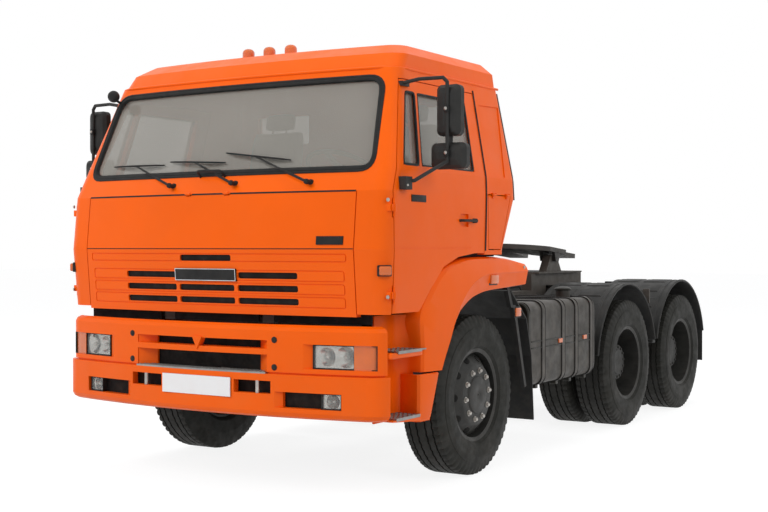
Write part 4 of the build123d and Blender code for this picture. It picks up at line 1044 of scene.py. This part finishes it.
def arc(y, radius, start, end, steps=40):
    """(y, z) places on an arc round a wheel, in degrees from the front."""
    turns = [math.radians(start + (end - start) * k / steps) for k in range(steps + 1)]
    return [(y - radius * math.cos(a), WHEEL_RADIUS + radius * math.sin(a)) for a in turns]


def arch(grid, side, y, start, end, steps=56):
    """Half-round guard with a rolled outer edge and a stiffening groove."""
    section = [(560, 640), (560, 652), (1092, 652), (1098, 657), (1112, 657), (1118, 652), (1146, 653), (1157, 660),
               (1168, 660), (1175, 652), (1172, 643), (1162, 641), (1140, 640)]
    add_loft(grid, [[at(side * x, y + c * radius, WHEEL_RADIUS + (d - WHEEL_RADIUS) * radius) for x, radius in section]
                    for c, d in arc(0, 1, start, end, steps)])


def dress_mudguards():
    """Half-round guards over the driven wheels with their pads, stays and flaps, latches and reflectors."""
    for side, word in SIDES:
        grid = bmesh.new()
        for y, start in ((MIDDLE_AXLE, 9), (REAR_AXLE, 14)):
            arch(grid, side, y, start, 166)
            for turn in range(40, 131, 18):
                for x0, x1 in ((610, 820), (860, 1070)):
                    low, high = arc(y, 651, turn, turn + 11, 6), arc(y, 659, turn + 1, turn + 10, 6)
                    add_loft(grid, [[at(side * x0, a, b), at(side * x1, a, b), at(side * (x1 - 12), c, d),
                                     at(side * (x0 + 12), c, d)] for (a, b), (c, d) in zip(low, high)])
            side_box(grid, side, (RAIL_X, 1100), (y - 25, y + 25), (1118, 1150), 6)
            side_box(grid, side, (RAIL_X, RAIL_X + 30), (y - 25, y + 25), (960, 1150), 4)
        side_box(grid, side, (600, 1150), (3318, 3382), (636, 668), 8)
        side_box(grid, side, (560, 1165), (4628, 4636), (390, 700), 3)
        guard = finished("mudguards_" + word, grid, BLACK, "chassis")
        if side == 1:
            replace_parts(guard, "rear_mudguards")
        grid = bmesh.new()
        for k in range(4):
            add_turned(grid, (side * 1100, 3300 + k * 4, 1010 + k * 26), (0, 1, 0), [(0, 11), (5, 12), (10, 11)], 16)
        side_box(grid, side, (1070, 1130), (3286, 3306), (985, 1110), 4)
        add_tube(grid, [(side * 1100, 3302, 980), (side * 1120, 3320, 930), (side * 1100, 3340, 880)], 7, 8)
        finished("mudguard_latch_" + word, grid, DARK, "chassis")
        grid = bmesh.new()
        side_box(grid, side, (1056, 1066), (4645, 4683), (880, 940), 3)
        finished("rear_reflector_" + word, grid, RED, "chassis")


def dress_chassis():
    """Fixed pipes in their clamps, valve blocks and bolts on the frame behind the cab."""
    grid = bmesh.new()
    level = 1136
    for k in range(8):
        x, bend = -280 + k * 80, 1300 + k * 40
        last = 2400 if k % 2 else 1900
        route = [(x, 620, level + 24), (x, 700, level), (x, bend, level), (x + 30, bend + 60, level),
                 (x + 30, last, level), (x + 30, last + 30, level - 24)]
        add_tube(grid, rounded(route, 30), (8, 6, 10)[k % 3], 8)
    for y in (760, 1120, 1700, 2080):
        add_box(grid, (-310, 330), (y - 12, y + 12), (1118, 1150), 4)
    for x, y in ((-250, 700), (180, 820), (-120, 1500), (260, 1760), (-280, 2050)):
        add_box(grid, (x - 60, x + 60), (y - 70, y + 70), (1112, 1190), 10)
        add_turned(grid, (x, y, 1188), (0, 0, 1), [(0, 34), (22, 32), (30, 20), (32, 0)], 20)
    finished("frame_pipes", grid, SEAL, "chassis")
    grid = bmesh.new()
    for side in (-1, 1):
        for y in range(300, 4560, 130):
            for z in (862, 1066):
                bolt(grid, (side * RAIL_X, y, z), (side, 0, 0), 11)
        for y in range(2480, 3330, 120):
            bolt(grid, (side * 387, y, 1250), (0, 0, 1), 10)
    finished("frame_bolts", grid, DARK, "chassis")


# ---------------------------------------------------------------- seats

# rings up a cushion, and steps along each of its four edges
CUSHION_RINGS, EDGE_STEPS = 9, 14


def cushion_form(x, y, z, crown, lean=0.0):
    """Crowned closed form whose sides pull in, between limits in millimetres."""
    grid = bmesh.new()
    middle_x, middle_y = (x[0] + x[1]) / 2, (y[0] + y[1]) / 2
    half_x, half_y = (x[1] - x[0]) / 2, (y[1] - y[0]) / 2
    rings = []
    for j in range(CUSHION_RINGS):
        t = j / (CUSHION_RINGS - 1)
        height = z[0] + (z[1] - z[0]) * t
        pull = 1 - 0.10 * (2 * t - 1) ** 4 - 0.02
        ring = []
        for k in range(4 * EDGE_STEPS):
            edge, part = divmod(k, EDGE_STEPS)
            s = part / EDGE_STEPS * 2 - 1
            u, v = ((s, -1), (1, s), (-s, 1), (-1, -s))[edge]
            squeeze = 1 - 0.06 * (u * v) ** 2
            ring.append(Vector((middle_x + half_x * u * pull * squeeze,
                                middle_y + half_y * v * pull * squeeze + lean * (height - z[0]), height)))
        rings.append([at(*point) for point in ring])
    rows = add_loft(grid, rings, caps=False)
    for row, lift in ((rows[0], 0.0), (rows[-1], crown)):
        middle = sum((vert.co for vert in row), Vector()) / len(row)
        inner = row
        for share in (0.75, 0.45, 0.2):
            made = []
            for vert in row:
                point = middle.lerp(vert.co, share)
                point.z += lift / 1000 * (1 - share ** 2)
                made.append(grid.verts.new(point))
            join_rings(grid, inner, made)
            inner = made
        grid.faces.new(inner)
    return grid


# voxel of the cushions' remesh, and how far the cloth run may move a point, in metres
VOXEL, SWELL_CAP = 0.012, 0.012
PRESSURE, CLOTH_STEPS = 4, 20


def puff(piece, cap):
    """Swell a cushion with a short cloth run, each point moving no further than the cap."""
    remesh = piece.modifiers.new("remesh", "REMESH")
    remesh.mode = "VOXEL"
    remesh.voxel_size = VOXEL
    graph = bpy.context.evaluated_depsgraph_get()
    mesh = bpy.data.meshes.new_from_object(piece.evaluated_get(graph))
    piece.modifiers.clear()
    material = piece.data.materials[0]
    piece.data = mesh
    mesh.materials.clear()
    mesh.materials.append(material)
    rest = [vert.co.copy() for vert in mesh.vertices]
    cloth = piece.modifiers.new("cloth", "CLOTH")
    cloth.settings.use_pressure = True
    cloth.settings.uniform_pressure_force = PRESSURE
    cloth.settings.effector_weights.gravity = 0
    scene = bpy.context.scene
    for step in range(1, CLOTH_STEPS + 1):
        scene.frame_set(step)
    graph = bpy.context.evaluated_depsgraph_get()
    swollen = bpy.data.meshes.new_from_object(piece.evaluated_get(graph))
    moved = [vert.co.copy() for vert in swollen.vertices]
    piece.modifiers.clear()
    for vert, start, end in zip(mesh.vertices, rest, moved):
        shift = end - start
        if shift.length > cap:
            shift = shift.normalized() * cap
        vert.co = start + shift
    bpy.data.meshes.remove(swollen)
    scene.frame_set(1)
    for polygon in mesh.polygons:
        polygon.use_smooth = True


def dress_seats():
    """Sprung pedestals with padded cushions, backs and head rests."""
    # name, limits of x, y and z, crown of the top, and lean to the back
    pads = (("cushion", (310, 810), (-395, 125), (1735, 1850), 16, 0.0),
            ("back", (325, 795), (66, 162), (1868, 2310), 6, 0.17),
            ("head", (435, 685), (168, 236), (2330, 2442), 6, 0.15))
    stand = None
    for side, word in SIDES:
        grid = bmesh.new()
        side_box(grid, side, (410, 710), (-320, 90), (1502, 1560), 12)
        side_box(grid, side, (440, 680), (-260, 60), (1556, 1700), 20)
        side_box(grid, side, (330, 790), (-370, 110), (1700, 1740), 12)
        for x in (500, 620):
            add_tube(grid, [(side * x, 190, 2290), (side * x, 200, 2345)], 7, 10)
        piece = finished("seat_stand_" + word, grid, BLACK, "cab")
        stand = stand or piece
        for name, x, y, z, crown, lean in pads:
            form = cushion_form(on_side(side, x), y, z, crown, lean)
            pad = finished("seat_%s_%s" % (name, word), form, SEAT, "cab", 60)
            puff(pad, SWELL_CAP)
    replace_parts(stand, "seats")


dress_panel()
dress_bumper()
dress_lamps()
dress_cab()
dress_screen()
for side, word in SIDES:
    dress_door(side, word)
dress_wheels()
dress_steps()
dress_fenders()
dress_tank()
dress_mudguards()
dress_chassis()
dress_seats()

# ---------------------------------------------------------------- camera, light and floor

# The camera fitted to the photograph: place in millimetres, turn and fall in degrees.
CAMERA_AT = (5005, -7243, 1477)
CAMERA_YAW = 32.08
CAMERA_DOWN = 0.42
FOCAL_PIXELS = 1262
PHOTO_WIDTH = 768
WORLD_STRENGTH = 0.42
# how bright the floor's own white is where it is looked at, and how much of it shows over the shadow
FLOOR_GLOW, FLOOR_SHARE = 1.4, 0.62


def seen_directly(tree):
    """One for camera, glossy and transmission rays, else zero."""
    rays = tree.nodes.new("ShaderNodeLightPath").outputs
    total = rays["Is Camera Ray"]
    for kind in ("Is Glossy Ray", "Is Transmission Ray"):
        total = add_node(tree, "ShaderNodeMath", {0: total, 1: rays[kind]}, operation="MAXIMUM").outputs["Value"]
    return total


def show_mixed(tree, factor, shader, seen, output):
    """Send to an output one shader mixed with another by a factor."""
    mix = add_node(tree, "ShaderNodeMixShader", {"Fac": factor, 1: shader, 2: seen})
    tree.links.new(mix.outputs["Shader"], tree.nodes[output].inputs["Surface"])


def place_camera():
    data = bpy.data.cameras.new("camera")
    data.sensor_width = 36
    data.lens = FOCAL_PIXELS * data.sensor_width / PHOTO_WIDTH
    data.clip_end = 200
    camera = bpy.data.objects.new("camera", data)
    camera.location = at(*CAMERA_AT)
    camera.rotation_euler = (math.radians(90 - CAMERA_DOWN), 0, math.radians(CAMERA_YAW))
    bpy.context.collection.objects.link(camera)
    bpy.context.scene.camera = camera


def area_light(name, place, target, size, power):
    data = bpy.data.lights.new(name, "AREA")
    data.shape = "DISK"
    data.size = size
    data.energy = power
    lamp = bpy.data.objects.new(name, data)
    lamp.location = place
    lamp.rotation_euler = (Vector(target) - Vector(place)).to_track_quat("-Z", "Y").to_euler()
    lamp.visible_glossy = False
    bpy.context.collection.objects.link(lamp)


def light_scene():
    """Even white surroundings and three large soft lamps."""
    world = bpy.data.worlds.new("studio")
    bpy.context.scene.world = world
    world.use_nodes = True
    tree = world.node_tree
    back = tree.nodes["Background"]
    back.inputs["Color"].default_value = (0.95, 0.97, 1.0, 1)
    back.inputs["Strength"].default_value = WORLD_STRENGTH
    seen = add_node(tree, "ShaderNodeBackground", {"Color": (1, 1, 1, 1)})
    show_mixed(tree, seen_directly(tree), back.outputs["Background"], seen.outputs["Background"], "World Output")
    area_light("key", (-3.0, -12.0, 8.0), (0, -2.0, 1.2), 7.0, 800)
    area_light("side", (11.0, -3.0, 7.0), (0, 0, 1.0), 8.0, 460)
    area_light("top", (0.0, 1.0, 11.0), (0, 0, 1.0), 9.0, 520)


def lay_floor():
    """Wide pale floor that carries a soft shadow."""
    mesh = bpy.data.meshes.new("floor")
    grid = bmesh.new()
    bmesh.ops.create_grid(grid, x_segments=8, y_segments=8, size=60)
    grid.to_mesh(mesh)
    grid.free()
    floor = bpy.data.objects.new("floor", mesh)
    bpy.context.collection.objects.link(floor)
    surface = Surface("floor_paper", 0.9).base((0.62, 0.62, 0.62), 0.01, 0.3)
    surface.bump(surface.noise(40.0), 0.0005, 0.2)
    material = surface.done()
    tree = material.node_tree
    glow = add_node(tree, "ShaderNodeEmission", {"Strength": FLOOR_GLOW})
    share = add_node(tree, "ShaderNodeMath", {0: seen_directly(tree), 1: FLOOR_SHARE}, operation="MULTIPLY")
    show_mixed(tree, share.outputs["Value"], surface.shader.outputs["BSDF"], glow.outputs["Emission"],
               "Material Output")
    mesh.materials.append(material)


place_camera()
light_scene()
lay_floor()
bpy.context.scene.view_settings.view_transform = "Standard"
